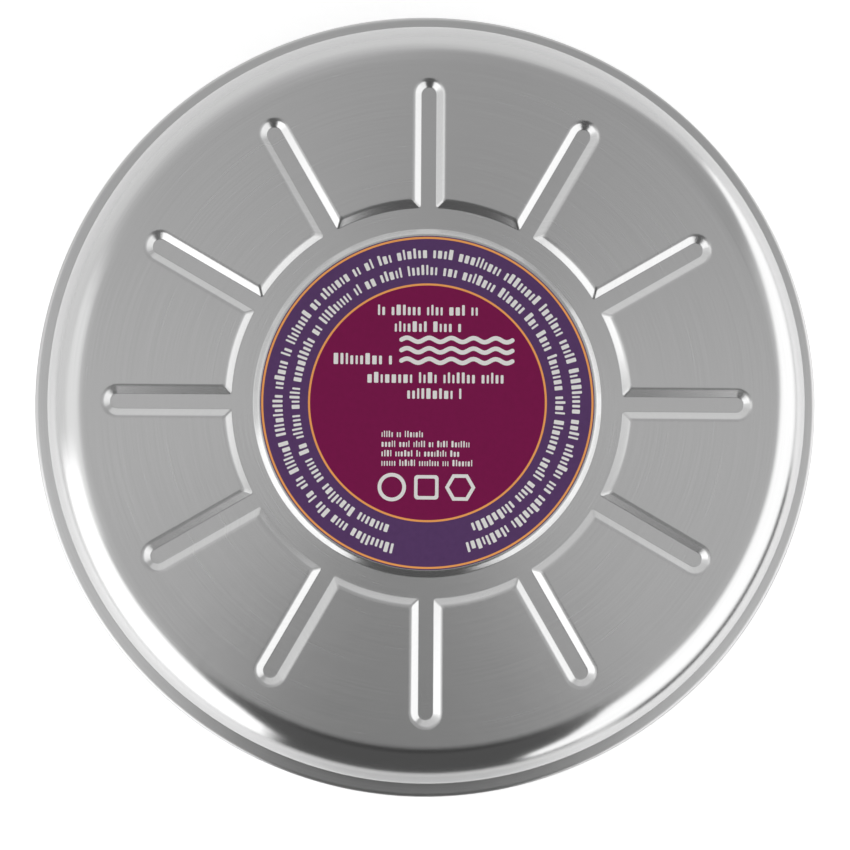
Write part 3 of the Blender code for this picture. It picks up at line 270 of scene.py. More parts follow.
# The front shell is deep-drawn from one disc of thin satin stainless sheet. The press leaves twelve
# radial grooves and a ring channel round the raised centre that carries the label, and a wide
# shoulder. Its flat flange ends inside the hem of the rear shell.
SHEET = 0.0004
HEM_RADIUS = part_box("rear_shell")[1].x
SEAM = FACE_HEIGHT / 2
HEM_HEIGHT = 0.0015
WALL_RADIUS = HEM_RADIUS - 0.0045
SHOULDER = 0.0115
WALL_DRAFT = 0.0001
FACE_RADIUS = WALL_RADIUS - WALL_DRAFT - SHOULDER
FLANGE_BEND = 0.0004
GROOVES = 12
GROOVE_FLOOR = 0.0045
GROOVE_END = FACE_RADIUS - 0.0055
PRESS_DEPTH = 0.0016
PRESS_SLOPE = 0.0022
PANEL_CORNER = 0.0008
FLOOR_BEND = 0.0005
PANEL_BEND = 0.0022
CENTRE_RADIUS = 0.0515
CENTRE_FLAT = 0.0500
CHANNEL_RADIUS = CENTRE_RADIUS + 0.0064
BOSS_DROP = 0.0004
BOSS_EDGE = 0.0012
GUARD = 0.0001
SECTOR_STEPS = 24
SHOULDER_STEPS = 24
RECESS_STEPS = (12, 8, 10)
MERGE = 0.00001
STEEL_DARK, STEEL_LIGHT = (0.59, 0.59, 0.59), (0.675, 0.675, 0.675)
FACE_ROUGHNESS = (0.245, 0.285)
SHOULDER_ROUGHNESS = (0.15, 0.18)
HEM_ROUGHNESS = (0.30, 0.36)
SHOULDER_START = 0.002
SHEET_WAVES = 0.0001
GRAIN_DEPTH = 0.0000003


def polar(radius, angle):
    return (radius * math.cos(angle), radius * math.sin(angle))


def soften(corners, steps=7):
    """A section line of (across, down, bend radius) corners, with an arc for each corner that has a radius."""
    line = [Vector(corners[0][:2])]
    for before, corner, after in zip(corners, corners[1:], corners[2:]):
        at = Vector(corner[:2])
        if not corner[2:]:
            line.append(at)
            continue
        back = (Vector(before[:2]) - at).normalized()
        ahead = (Vector(after[:2]) - at).normalized()
        turn = math.pi - back.angle(ahead)
        centre = at + (back + ahead).normalized() * corner[2] / math.cos(turn / 2)
        start = at + back * corner[2] * math.tan(turn / 2) - centre
        side = 1 if ahead.cross(back) < 0 else -1
        for step in range(steps + 1):
            line.append(centre + Matrix.Rotation(-side * turn * step / steps, 2) @ start)
    line.append(Vector(corners[-1][:2]))
    return line


def arc(radius, reach=math.pi / GROOVES, steps=SECTOR_STEPS):
    """Points on a circle about the axis, from one edge of a sector to the other."""
    return [polar(radius, reach * (2 * step / steps - 1)) for step in range(steps + 1)]


def recess_line(offset):
    """One sector of the recess's edge, at a distance outside its floor: channel, corners and groove."""
    half = GROOVE_FLOOR / 2 + offset
    end = GROOVE_END - PRESS_SLOPE - GROOVE_FLOOR / 2
    corner_y = half + PANEL_CORNER
    corner_x = math.sqrt((CHANNEL_RADIUS + offset + PANEL_CORNER) ** 2 - corner_y**2)
    lean = math.atan2(corner_y, corner_x)
    end_steps, corner_steps, channel_steps = RECESS_STEPS
    side = []
    for step in range(end_steps + 1):
        x, y = polar(half, math.pi / 2 * step / end_steps)
        side.append((end + x, y))
    for step in range(corner_steps + 1):
        x, y = polar(PANEL_CORNER, -math.pi / 2 - (math.pi / 2 - lean) * step / corner_steps)
        side.append((corner_x + x, corner_y + y))
    middle = math.pi / GROOVES
    for step in range(1, channel_steps + 1):
        side.append(polar(CHANNEL_RADIUS + offset, lean + (middle - lean) * step / channel_steps))
    return [(x, -y) for x, y in side[:0:-1]] + side


def add_line(shape, points, height, closed=False):
    """A row of vertices and the edges between them at one height."""
    corners = [shape.verts.new((x, y, height)) for x, y in points]
    pairs = zip(corners, corners[1:] + corners[:1] if closed else corners[1:])
    return corners, [shape.edges.new(pair) for pair in pairs]


def bridge(shape, inner, outer):
    """Faces between two rows of equal counts, facing up when the first is the inner one."""
    for a, b, c, d in zip(inner[0], inner[0][1:], outer[0][1:], outer[0]):
        shape.faces.new((a, d, c, b))


def flat_between(shape, inner, outer):
    """A flat sheet between two rows of a sector, whose ends lie on the sector's edges."""
    edges = inner[1] + outer[1]
    for end in (0, -1):
        edges.append(shape.edges.new((inner[0][end], outer[0][end])))
    bmesh.ops.triangle_fill(shape, use_beauty=True, edges=edges, normal=(0, 0, 1))


def pressed_sector(centre_line, rim_line, whole_centre):
    """One groove's share of a shell's outer surface, as depths under its face, out to the rim's end."""
    shape = bmesh.new()
    last = add_line(shape, arc(centre_line[0][0]), -centre_line[0][1])
    if whole_centre:
        middle = shape.verts.new((0, 0, -centre_line[0][1]))
        for first, second in zip(last[0], last[0][1:]):
            shape.faces.new((middle, first, second))
    for radius, depth in centre_line[1:]:
        row = add_line(shape, arc(radius), -depth)
        bridge(shape, last, row)
        last = row
    slope = soften([(-FLOOR_BEND, PRESS_DEPTH), (0, PRESS_DEPTH, FLOOR_BEND), (PRESS_SLOPE, 0, PANEL_BEND),
                    (PRESS_SLOPE + PANEL_CORNER, 0)])
    for number, (offset, depth) in enumerate(slope):
        row = add_line(shape, recess_line(offset), -depth)
        if number:
            bridge(shape, last, row)
        else:
            flat_between(shape, last, row)
        last = row
    for number, (radius, depth) in enumerate(rim_line):
        row = add_line(shape, arc(radius), -depth)
        if number:
            bridge(shape, last, row)
        else:
            flat_between(shape, last, row)
        last = row
    return shape


def new_tree(name, **inputs):
    """A Geometry Nodes tree with named inputs; its nodes and the identifiers of its inputs."""
    tree = bpy.data.node_groups.new(name, "GeometryNodeTree")
    tree.interface.new_socket("Geometry", in_out="INPUT", socket_type="NodeSocketGeometry")
    keys = {}
    for label, kind in inputs.items():
        socket = tree.interface.new_socket(label.replace("_", " ").title(), in_out="INPUT", socket_type=kind)
        keys[label] = socket.identifier
    tree.interface.new_socket("Geometry", in_out="OUTPUT", socket_type="NodeSocketGeometry")
    return tree, add_node(tree, "NodeGroupInput"), add_node(tree, "NodeGroupOutput"), keys


def feed(tree, node, **links):
    """Link or set a node's inputs by name; its first output."""
    for label, value in links.items():
        socket = node.inputs[label.replace("_", " ").title()]
        if isinstance(value, bpy.types.NodeSocket):
            tree.links.new(value, socket)
        else:
            socket.default_value = value
    return node.outputs[0]


def tree_step(tree, kind, **links):
    """One more node of a tree, fed by name; its first output."""
    return feed(tree, add_node(tree, kind), **links)


def close_tree(tree, start, end, geometry):
    """End a tree with real copies in their material."""
    real = tree_step(tree, "GeometryNodeRealizeInstances", geometry=geometry)
    done = tree_step(tree, "GeometryNodeSetMaterial", geometry=real, material=start.outputs["Material"])
    tree.links.new(done, end.inputs[0])


def settle(piece):
    """Turn a piece's live modifiers into its plain mesh."""
    bpy.context.view_layer.update()
    solved = piece.evaluated_get(bpy.context.evaluated_depsgraph_get())
    mesh = bpy.data.meshes.new_from_object(solved)
    piece.modifiers.clear()
    piece.data = mesh


def run_tree(piece, tree, keys, **values):
    """Run a Geometry Nodes tree on a piece with these inputs and keep its result as the mesh."""
    step = piece.modifiers.new(tree.name, "NODES")
    step.node_group = tree
    for label, value in values.items():
        step[keys[label]] = value
    settle(piece)
    piece.data.materials.clear()
    piece.data.materials.append(values["material"])
    piece.data.polygons.foreach_set("material_index", [0] * len(piece.data.polygons))


def turn_round_tree():
    """Copies of one sector turned about the axis and joined at their edges."""
    tree, start, end, keys = new_tree("turn_round", count="NodeSocketInt", joint="NodeSocketFloat",
                                      material="NodeSocketMaterial")
    centres = tree_step(tree, "GeometryNodePoints", count=start.outputs["Count"])
    number = add_node(tree, "GeometryNodeInputIndex").outputs[0]
    turn = maths(tree, "MULTIPLY", number, maths(tree, "DIVIDE", math.tau, start.outputs["Count"]))
    turned_by = add_node(tree, "ShaderNodeCombineXYZ")
    tree.links.new(turn, turned_by.inputs["Z"])
    copies = tree_step(tree, "GeometryNodeInstanceOnPoints", points=centres,
                       instance=start.outputs["Geometry"], rotation=turned_by.outputs[0])
    real = tree_step(tree, "GeometryNodeRealizeInstances", geometry=copies)
    joined = tree_step(tree, "GeometryNodeMergeByDistance", geometry=real, distance=start.outputs["Joint"])
    close_tree(tree, start, end, joined)
    return tree, keys


def smooth(piece, sharp=35.0):
    """Smooth shading with a crease at every edge steeper than this angle."""
    piece.data.shade_smooth()
    piece.data.set_sharp_from_angle(angle=math.radians(sharp))


def thicken(piece, thickness):
    """Give a sheet its thickness, inwards from its outer surface."""
    wall = piece.modifiers.new("sheet", "SOLIDIFY")
    wall.thickness = thickness
    wall.offset = -1
    wall.use_even_offset = True
    settle(piece)


def dress(piece, nodes):
    """Let a piece on the drum stand for its CAD nodes."""
    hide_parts(*nodes)
    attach(piece, "drum")


def new_group(name, inputs, outputs):
    """A shader group with named values in and out; its tree, what comes into it and what it puts out."""
    group = bpy.data.node_groups.new(name, "ShaderNodeTree")
    for label, value in inputs.items():
        socket = group.interface.new_socket(label, in_out="INPUT", socket_type="NodeSocketFloat")
        socket.default_value = value
    for label in outputs:
        group.interface.new_socket(label, in_out="OUTPUT", socket_type="NodeSocketFloat")
    return group, add_node(group, "NodeGroupInput").outputs, add_node(group, "NodeGroupOutput").inputs


def noise(tree, vector, scale, detail=3.0, roughness=0.5):
    """A noise of a feature size, which is a number or a socket."""
    made = add_node(tree, "ShaderNodeTexNoise")
    tree.links.new(vector, made.inputs["Vector"])
    if isinstance(scale, bpy.types.NodeSocket):
        tree.links.new(maths(tree, "DIVIDE", 1.0, scale), made.inputs["Scale"])
    else:
        made.inputs["Scale"].default_value = 1 / scale
    made.inputs["Detail"].default_value = detail
    made.inputs["Roughness"].default_value = roughness
    return made.outputs["Fac"]


def turned_grain_group():
    """Fine marks that run round the axis of a turned or spun surface, and slow unevenness across it."""
    sizes = {"Line Width": 0.00015, "Line Length": 0.5, "Cloud Size": 0.02, "Centre X": 0.0, "Centre Y": 0.0}
    group, start, end = new_group("turned_grain", sizes, ("Lines", "Clouds", "Radius"))
    place = object_place(group)
    across = axes(group, place)
    x = maths(group, "SUBTRACT", across["X"], start["Centre X"])
    y = maths(group, "SUBTRACT", across["Y"], start["Centre Y"])
    squares = maths(group, "ADD", maths(group, "MULTIPLY", x, x), maths(group, "MULTIPLY", y, y))
    radius = maths(group, "SQRT", squares)
    along = maths(group, "DIVIDE", maths(group, "SUBTRACT", radius, across["Z"]), start["Line Width"])
    reach = maths(group, "DIVIDE", 1.0, maths(group, "MULTIPLY", radius, start["Line Length"]))
    point = add_node(group, "ShaderNodeCombineXYZ")
    for value, socket in zip((maths(group, "MULTIPLY", x, reach), maths(group, "MULTIPLY", y, reach), along),
                             point.inputs):
        group.links.new(value, socket)
    group.links.new(noise(group, point.outputs[0], 1.0), end["Lines"])
    group.links.new(noise(group, place, start["Cloud Size"], detail=4.0), end["Clouds"])
    group.links.new(radius, end["Radius"])
    return group


turned_grain = turned_grain_group()


def use_group(tree, group, **values):
    """A copy of a shared node group in a material, with its own values."""
    made = add_node(tree, "ShaderNodeGroup", node_tree=group)
    feed(tree, made, **values)
    return made


def mix(tree, share, first, second, socket=None):
    """Mix two values by a 0 to 1 share, and feed the result to a socket where one is given."""
    made = add_node(tree, "ShaderNodeMix")
    for place, value in zip((made.inputs[0], made.inputs[2], made.inputs[3]), (share, first, second)):
        tree.links.new(value, place)
    if socket is not None:
        tree.links.new(made.outputs[0], socket)
    return made.outputs[0]


def tint(tree, value, first, second, socket=None):
    """Mix two colours, or sockets of them, by a 0 to 1 value, and feed the result to a socket."""
    made = add_node(tree, "ShaderNodeMix", data_type="RGBA")
    colours = [s for s in made.inputs if s.type == "RGBA"]
    for place, colour in zip(colours, (first, second)):
        if isinstance(colour, bpy.types.NodeSocket):
            tree.links.new(colour, place)
        else:
            place.default_value = (*colour, 1)
    tree.links.new(value, made.inputs[0])
    result = [s for s in made.outputs if s.type == "RGBA"][0]
    if socket is not None:
        tree.links.new(result, socket)
    return result


def bump(tree, height_value, distance, shader, below=None):
    """A Bump node of a real depth on a shader's normal, over another one's normal if given."""
    made = add_node(tree, "ShaderNodeBump")
    made.inputs["Distance"].default_value = distance
    tree.links.new(height_value, made.inputs["Height"])
    if below is not None:
        tree.links.new(below, made.inputs["Normal"])
    tree.links.new(made.outputs[0], shader.inputs["Normal"])
    return made.outputs[0]


def satin_steel_material():
    look, tree, shader = new_material("satin_steel_finish")
    grain = use_group(tree, turned_grain, line_width=0.0004, line_length=0.5, cloud_size=0.03)
    shader.inputs["Metallic"].default_value = 1.0
    shader.inputs["Anisotropic"].default_value = 0.75
    shader.inputs["Anisotropic Rotation"].default_value = 0.25
    lines, radius = grain.outputs["Lines"], grain.outputs["Radius"]
    tint(tree, lines, STEEL_DARK, STEEL_LIGHT, shader.inputs["Base Color"])
    flat = spread(tree, lines, *FACE_ROUGHNESS)
    drawn = spread(tree, lines, *SHOULDER_ROUGHNESS)
    rolled = spread(tree, lines, *HEM_ROUGHNESS)
    on_shoulder = smooth_between(tree, radius, FACE_RADIUS, FACE_RADIUS + SHOULDER_START)
    on_hem = smooth_between(tree, radius, WALL_RADIUS, WALL_RADIUS + FLANGE_BEND)
    mix(tree, on_hem, mix(tree, on_shoulder, flat, drawn), rolled, shader.inputs["Roughness"])
    along = add_node(tree, "ShaderNodeTangent", direction_type="RADIAL", axis="Z")
    tree.links.new(along.outputs[0], shader.inputs["Tangent"])
    slow = bump(tree, grain.outputs["Clouds"], SHEET_WAVES, shader)
    bump(tree, lines, GRAIN_DEPTH, shader, slow)
    return look


satin_steel = satin_steel_material()
turn_round, turn_round_keys = turn_round_tree()
shoulder_line = [(FACE_RADIUS - 3 * GUARD, 0), (FACE_RADIUS, 0)]
for step in range(1, SHOULDER_STEPS + 1):
    lean = math.pi / 2 * step / SHOULDER_STEPS
    shoulder_line.append((FACE_RADIUS + SHOULDER * math.sin(lean), SHOULDER * (1 - math.cos(lean))))
boss_line = soften([(CENTRE_FLAT - 2 * BOSS_EDGE, BOSS_DROP), (CENTRE_FLAT, BOSS_DROP, BOSS_EDGE),
                    (CENTRE_RADIUS, PRESS_DEPTH, FLOOR_BEND), (CENTRE_RADIUS + FLOOR_BEND, PRESS_DEPTH)])
flange_depth = SEAM - SHEET / 2
flange_line = soften([shoulder_line[-1], (WALL_RADIUS, flange_depth, FLANGE_BEND),
                      (HEM_RADIUS - HEM_HEIGHT / 2, flange_depth)])[1:]
front_sector = pressed_sector(boss_line, shoulder_line + flange_line, True)
bmesh.ops.translate(front_sector, vec=(0, 0, FACE_HEIGHT), verts=front_sector.verts)
front_shell = make_piece("front_shell_sheet", front_sector, satin_steel)
run_tree(front_shell, turn_round, turn_round_keys, count=GROOVES, joint=MERGE, material=satin_steel)
thicken(front_shell, SHEET)
smooth(front_shell)
dress(front_shell, ["front_shell"])


# The rear shell is the same pressing. Its rim is rolled up and over the front shell's flange to make
# the hem that holds the drum shut, and its centre is pressed in as a seat for the inlet moulding.
SEAT_DROP = 0.0032
HEM_ROLL = 0.0012
HEM_STEPS = 16
LAP_GAP = 0.00015
LAP_RADIUS = WALL_RADIUS + FLANGE_BEND + LAP_GAP
MOUTH_HALF = Vector((0.0130, 0.0095))
MOUTH_CHAMFER = 0.005
HOUSING_WALL = 0.003
HOUSING_FIT = 0.0005
HOLE_GAP = 0.0003
SCREW_RADIUS = 0.00175
SCREW_PLACES = [polar(0.042, math.radians(90 + 120 * number)) for number in range(3)]
LENS_PLACE = (0.0, -0.030)
LENS_RADIUS = 0.004
LENS_COLLAR = 0.0012


def circle(radius, steps, centre=(0.0, 0.0)):
    points = []
    for step in range(steps):
        x, y = polar(radius, math.tau * step / steps)
        points.append((centre[0] + x, centre[1] + y))
    return points


def mouth_outline(grow):
    """The inlet's outline with its two keyed corners, grown by a wall or a clearance."""
    x, y = MOUTH_HALF.x + grow, MOUTH_HALF.y + grow
    return [(-x, -y), (x, -y), (x, y - MOUTH_CHAMFER), (x - MOUTH_CHAMFER, y), (MOUTH_CHAMFER - x, y),
            (-x, y - MOUTH_CHAMFER)]


def flat_with_holes(shape, outline, holes, height):
    """A flat sheet with holes at one height."""
    edges = []
    for loop in (outline, *holes):
        edges += add_line(shape, loop, height, closed=True)[1]
    bmesh.ops.triangle_fill(shape, use_beauty=True, edges=edges, normal=(0, 0, 1))


hem_line = shoulder_line + soften([shoulder_line[-1], (WALL_RADIUS, SEAM - HEM_HEIGHT / 2, FLANGE_BEND),
                                   (HEM_RADIUS - HEM_ROLL, SEAM - HEM_HEIGHT / 2)])[1:]
for step in range(1, HEM_STEPS + 1):
    lean = math.pi * step / HEM_STEPS - math.pi / 2
    hem_line.append((HEM_RADIUS - HEM_ROLL * (1 - math.cos(lean)), SEAM + HEM_HEIGHT / 2 * math.sin(lean)))
hem_line.append((LAP_RADIUS, SEAM + HEM_HEIGHT / 2))
seat_line = soften([(CENTRE_FLAT - 2 * GUARD, SEAT_DROP), (CENTRE_FLAT, SEAT_DROP, GUARD),
                    (CENTRE_RADIUS, PRESS_DEPTH, BOSS_EDGE), (CENTRE_RADIUS + BOSS_EDGE, PRESS_DEPTH)])
rear_shell = make_piece("rear_shell_sheet", pressed_sector(seat_line, hem_line, False), satin_steel)
run_tree(rear_shell, turn_round, turn_round_keys, count=GROOVES, joint=MERGE, material=satin_steel)
rear_sheet = bmesh.new()
rear_sheet.from_mesh(rear_shell.data)
seat_holes = [mouth_outline(HOUSING_WALL + HOUSING_FIT)]
seat_holes += [circle(SCREW_RADIUS + HOLE_GAP, 32, place) for place in SCREW_PLACES]
seat_holes.append(circle(LENS_RADIUS + LENS_COLLAR + HOLE_GAP, 48, LENS_PLACE))
flat_with_holes(rear_sheet, circle(CENTRE_FLAT - 2 * GUARD, GROOVES * SECTOR_STEPS), seat_holes, -SEAT_DROP)
bmesh.ops.remove_doubles(rear_sheet, verts=rear_sheet.verts, dist=MERGE)
bmesh.ops.scale(rear_sheet, vec=(1, 1, -1), verts=rear_sheet.verts)
bmesh.ops.reverse_faces(rear_sheet, faces=rear_sheet.faces)
rear_sheet.to_mesh(rear_shell.data)
rear_sheet.free()
thicken(rear_shell, SHEET)
smooth(rear_shell)
dress(rear_shell, ["rear_shell"])


# The rating label is a round printed vinyl sticker on the raised centre: a violet ring and a maroon
# middle between thin orange lines. Its print is plain strokes in rows, waves and open shapes, in
# off-white ink.
LABEL_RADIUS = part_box("rating_label")[1].x
LABEL_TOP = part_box("rating_label")[1].z
LABEL_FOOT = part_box("rating_label")[0].z
LABEL_EDGE = 0.00008
VIOLET = (0.083, 0.034, 0.118)
MAROON = (0.172, 0.0015, 0.058)
ORANGE = (0.90, 0.37, 0.10)
INK_WHITE = (0.83, 0.82, 0.80)
INK_DEPTH = 0.00002
INK_CORNER = 0.00025
MIDDLE_RADIUS = 0.03527
INNER_LINE = (0.0347, 0.0353)
OUTER_LINE = (0.0485, 0.0491)
PRINT_BLUR = 0.00005
SYMBOLS_Y = -0.0250


def turned(profile, steps, centre=(0.0, 0.0)):
    """A closed solid of revolution about Z, from (radius, height) points in order round its section."""
    shape = bmesh.new()
    rings = []
    for radius, height in profile:
        points = circle(radius, steps, centre) if radius else [centre]
        rings.append([shape.verts.new((x, y, height)) for x, y in points])
    for first, second in zip(rings, rings[1:] + rings[:1]):
        for i in range(steps):
            corners = [first[i - 1 if first[1:] else 0], first[i if first[1:] else 0]]
            corners += [second[i if second[1:] else 0], second[i - 1 if second[1:] else 0]]
            distinct = list(dict.fromkeys(corners))
            if len(distinct) > 2:
                shape.faces.new(distinct)
    bmesh.ops.recalc_face_normals(shape, faces=shape.faces)
    return shape


def turned_solid(name, section, look, node, centre=(0.0, 0.0), steps=64):
    """A turned piece that stands for one CAD solid."""
    piece = make_piece(name, turned(section, steps, centre), look)
    smooth(piece)
    dress(piece, [node])


def band(tree, value, low, high, blur):
    """1 between two values of a socket and 0 outside, with soft edges."""
    inner = smooth_between(tree, value, low - blur, low + blur)
    outer = smooth_between(tree, value, high + blur, high - blur)
    return maths(tree, "MULTIPLY", inner, outer)


def label_material():
    look, tree, shader = new_material("label_print_finish")
    grain = use_group(tree, turned_grain, line_width=0.002, line_length=2.0, cloud_size=0.012)
    radius = grain.outputs["Radius"]
    place = object_place(tree)
    mottle = noise(tree, place, 0.0015, detail=5.0)
    violet = tint(tree, mottle, VIOLET, tuple(1.25 * part for part in VIOLET))
    maroon = tint(tree, mottle, MAROON, tuple(1.2 * part for part in MAROON))
    middle = smooth_between(tree, radius, MIDDLE_RADIUS + PRINT_BLUR, MIDDLE_RADIUS - PRINT_BLUR)
    colour = tint(tree, middle, violet, maroon)
    colour = tint(tree, band(tree, radius, *INNER_LINE, PRINT_BLUR), colour, ORANGE)
    tint(tree, band(tree, radius, *OUTER_LINE, PRINT_BLUR), colour, ORANGE, shader.inputs["Base Color"])
    spread(tree, grain.outputs["Clouds"], 0.32, 0.42, shader.inputs["Roughness"])
    shader.inputs["Specular IOR Level"].default_value = 0.2
    fine = bump(tree, grain.outputs["Clouds"], 0.00004, shader)
    bump(tree, mottle, 0.000002, shader, fine)
    return look


def ink_material():
    look, tree, shader = new_material("label_ink_finish")
    place = object_place(tree)
    cover = noise(tree, place, 0.0004, detail=4.0)
    tint(tree, cover, INK_WHITE, tuple(0.93 * part for part in INK_WHITE), shader.inputs["Base Color"])
    spread(tree, cover, 0.4, 0.5, shader.inputs["Roughness"])
    bump(tree, cover, 0.000004, shader)
    return look


label_print = label_material()
label_ink = ink_material()
label_profile = [(0, LABEL_FOOT), (LABEL_RADIUS, LABEL_FOOT)]
label_profile += [(r, z) for r, z in soften([(LABEL_RADIUS, LABEL_FOOT), (LABEL_RADIUS, LABEL_TOP, LABEL_EDGE),
                                             (LABEL_RADIUS - 3 * LABEL_EDGE, LABEL_TOP)])[1:]]
label_profile.append((0, LABEL_TOP))
turned_solid("rating_label_film", label_profile, label_print, "rating_label", steps=GROOVES * SECTOR_STEPS)


def stroke_marks_tree():
    """A flat rounded stroke of ink on every point, turned and sized by the point's own values."""
    tree, start, end, keys = new_tree("stroke_marks", corner="NodeSocketFloat", height="NodeSocketFloat",
                                      depth="NodeSocketFloat", material="NodeSocketMaterial")
    outline = tree_step(tree, "GeometryNodeCurvePrimitiveQuadrilateral", width=1.0, height=1.0)
    sized = add_node(tree, "GeometryNodeInputNamedAttribute", data_type="FLOAT_VECTOR")
    sized.inputs["Name"].default_value = "size"
    turn = add_node(tree, "GeometryNodeInputNamedAttribute", data_type="FLOAT_VECTOR")
    turn.inputs["Name"].default_value = "turn"
    bars = tree_step(tree, "GeometryNodeInstanceOnPoints", points=start.outputs["Geometry"],
                     instance=outline, rotation=turn.outputs[0], scale=sized.outputs[0])
    real = tree_step(tree, "GeometryNodeRealizeInstances", geometry=bars)
    fillet = add_node(tree, "GeometryNodeFilletCurve", mode="POLY")
    fillet.inputs["Count"].default_value = 4
    fillet.inputs["Limit Radius"].default_value = True
    rounded = feed(tree, fillet, curve=real, radius=start.outputs["Corner"])
    face = tree_step(tree, "GeometryNodeFillCurve", curve=rounded)
    lift = add_node(tree, "ShaderNodeCombineXYZ")
    tree.links.new(start.outputs["Depth"], lift.inputs["Z"])
    raised = add_node(tree, "GeometryNodeExtrudeMesh")
    raised.inputs["Individual"].default_value = False
    raised.inputs["Offset Scale"].default_value = 1.0
    top = feed(tree, raised, mesh=face, offset=lift.outputs[0])
    foot = tree_step(tree, "GeometryNodeFlipFaces", mesh=face)
    both = add_node(tree, "GeometryNodeJoinGeometry")
    tree.links.new(foot, both.inputs[0])
    tree.links.new(top, both.inputs[0])
    closed = tree_step(tree, "GeometryNodeMergeByDistance", geometry=both.outputs[0], distance=INK_DEPTH / 8)
    rise_by = add_node(tree, "ShaderNodeCombineXYZ")
    tree.links.new(start.outputs["Height"], rise_by.inputs["Z"])
    on_label = tree_step(tree, "GeometryNodeTransform", geometry=closed, translation=rise_by.outputs[0])
    close_tree(tree, start, end, on_label)
    return tree, keys


chance = random.Random(12)
strokes = []


def stroke_groups(total, height, thin):
    """Strokes for a row: a distance along it, a width and a height for each, in groups with gaps."""
    made = []
    at = 0.0
    left = chance.randint(2, 9)
    while at < total:
        wide = height * chance.choice((0.20, 0.26, 0.40)) * thin
        tall = height * chance.choice((0.78, 0.78, 1.0))
        if at + wide > total:
            break
        made.append((at + wide / 2, wide, tall))
        at += wide + height * 0.21
        left -= 1
        if left == 0:
            at += height * 0.42
            left = chance.randint(2, 9)
    return made


def straight_row(low_x, high_x, middle_y, height, thin=1.0):
    for along, wide, tall in stroke_groups(high_x - low_x, height, thin):
        strokes.append(((low_x + along, middle_y - (height - tall) / 2), 0.0, (wide, tall)))


def round_row(radius, height, gap):
    """A row round the label that leaves a gap at the bottom."""
    total = radius * (math.tau - gap)
    for along, wide, tall in stroke_groups(total, height, 1.0):
        angle = -math.pi / 2 - gap / 2 - along / radius
        strokes.append((polar(radius - (height - tall) / 2, angle), angle - math.pi / 2, (wide, tall)))


for radius, gap in ((0.0443, 26), (0.0393, 34)):
    round_row(radius, 0.0030, math.radians(gap))
for row in ((-0.0148, 0.0156, 0.0274, 0.0031), (-0.0098, 0.0109, 0.0225, 0.0031),
            (-0.0278, -0.0106, 0.0129, 0.0033), (-0.0178, 0.0227, 0.0074, 0.0032),
            (-0.0060, 0.0109, 0.0027, 0.0031)):
    straight_row(*row)
for high_x, middle_y in ((-0.0012, -0.0093), (0.0126, -0.0122), (0.0097, -0.0150), (0.0141, -0.0178)):
    straight_row(-0.0135, high_x, middle_y, 0.0019, thin=0.8)
places = bpy.data.meshes.new("label_strokes")
places.from_pydata([(*at, 0) for at, turn, size in strokes], [], [])
turns = places.attributes.new("turn", "FLOAT_VECTOR", "POINT")
turns.data.foreach_set("vector", [part for at, turn, size in strokes for part in (0, 0, turn)])
sizes = places.attributes.new("size", "FLOAT_VECTOR", "POINT")
sizes.data.foreach_set("vector", [part for at, turn, size in strokes for part in (*size, 1)])
label_strokes = put_in_scene("label_strokes", places)
stroke_marks, stroke_marks_keys = stroke_marks_tree()
run_tree(label_strokes, stroke_marks, stroke_marks_keys, corner=INK_CORNER, height=LABEL_TOP, depth=INK_DEPTH,
         material=label_ink)
print_shape = bmesh.new()
print_shape.from_mesh(label_strokes.data)
stray = [corner for corner in print_shape.verts if not corner.link_faces]
bmesh.ops.delete(print_shape, geom=stray, context="VERTS")
print_shape.to_mesh(label_strokes.data)
print_shape.free()
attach(label_strokes, "drum")


def slab(outline, low, high, holes=()):
    """A flat solid between two heights."""
    shape = bmesh.new()
    flat_with_holes(shape, outline, holes, low)
    grown = bmesh.ops.extrude_face_region(shape, geom=shape.faces[:])
    moved = [item for item in grown["geom"] if isinstance(item, bmesh.types.BMVert)]
    bmesh.ops.translate(shape, vec=(0, 0, high - low), verts=moved)
    bmesh.ops.recalc_face_normals(shape, faces=shape.faces)
    return shape


def add_to(shape, part):
    """Put one shape into another."""
    held = bpy.data.meshes.new("held")
    part.to_mesh(held)
    part.free()
    shape.from_mesh(held)
    bpy.data.meshes.remove(held)


def flat_ink(shape, outline, holes=()):
    """A closed flat patch of ink on the label."""
    add_to(shape, slab(outline, LABEL_TOP, LABEL_TOP + INK_DEPTH, holes))


def wave_outline(low_x, high_x, y, swing, waves, thick):
    """A long wavy stroke with round ends."""
    steps = 16 * waves
    middle = []
    for step in range(steps + 1):
        share = step / steps
        turn = math.tau * waves * share
        lean = swing * math.tau * waves / (high_x - low_x) * math.cos(turn)
        normal = Vector((-lean, 1)).normalized()
        middle.append((Vector((low_x + (high_x - low_x) * share, y + swing * math.sin(turn))), normal))
    upper = [at + normal * thick / 2 for at, normal in middle]
    lower = [at - normal * thick / 2 for at, normal in middle]
    caps = []
    for (at, normal), side in ((middle[-1], 1), (middle[0], -1)):
        start = math.atan2(side * normal.y, side * normal.x)
        caps.append([at + Vector(polar(thick / 2, start - math.pi * step / 8)) for step in range(1, 8)])
    return upper + caps[0] + lower[::-1] + caps[1]


def rounded_square(centre, half, corner):
    points = []
    for quarter in range(4):
        for step in range(7):
            angle = math.pi / 2 * (quarter + step / 6)
            x, y = polar(corner, angle)
            sign_x = 1 if quarter in (0, 3) else -1
            sign_y = 1 if quarter in (0, 1) else -1
            points.append((centre[0] + sign_x * (half - corner) + x, centre[1] + sign_y * (half - corner) + y))
    return points


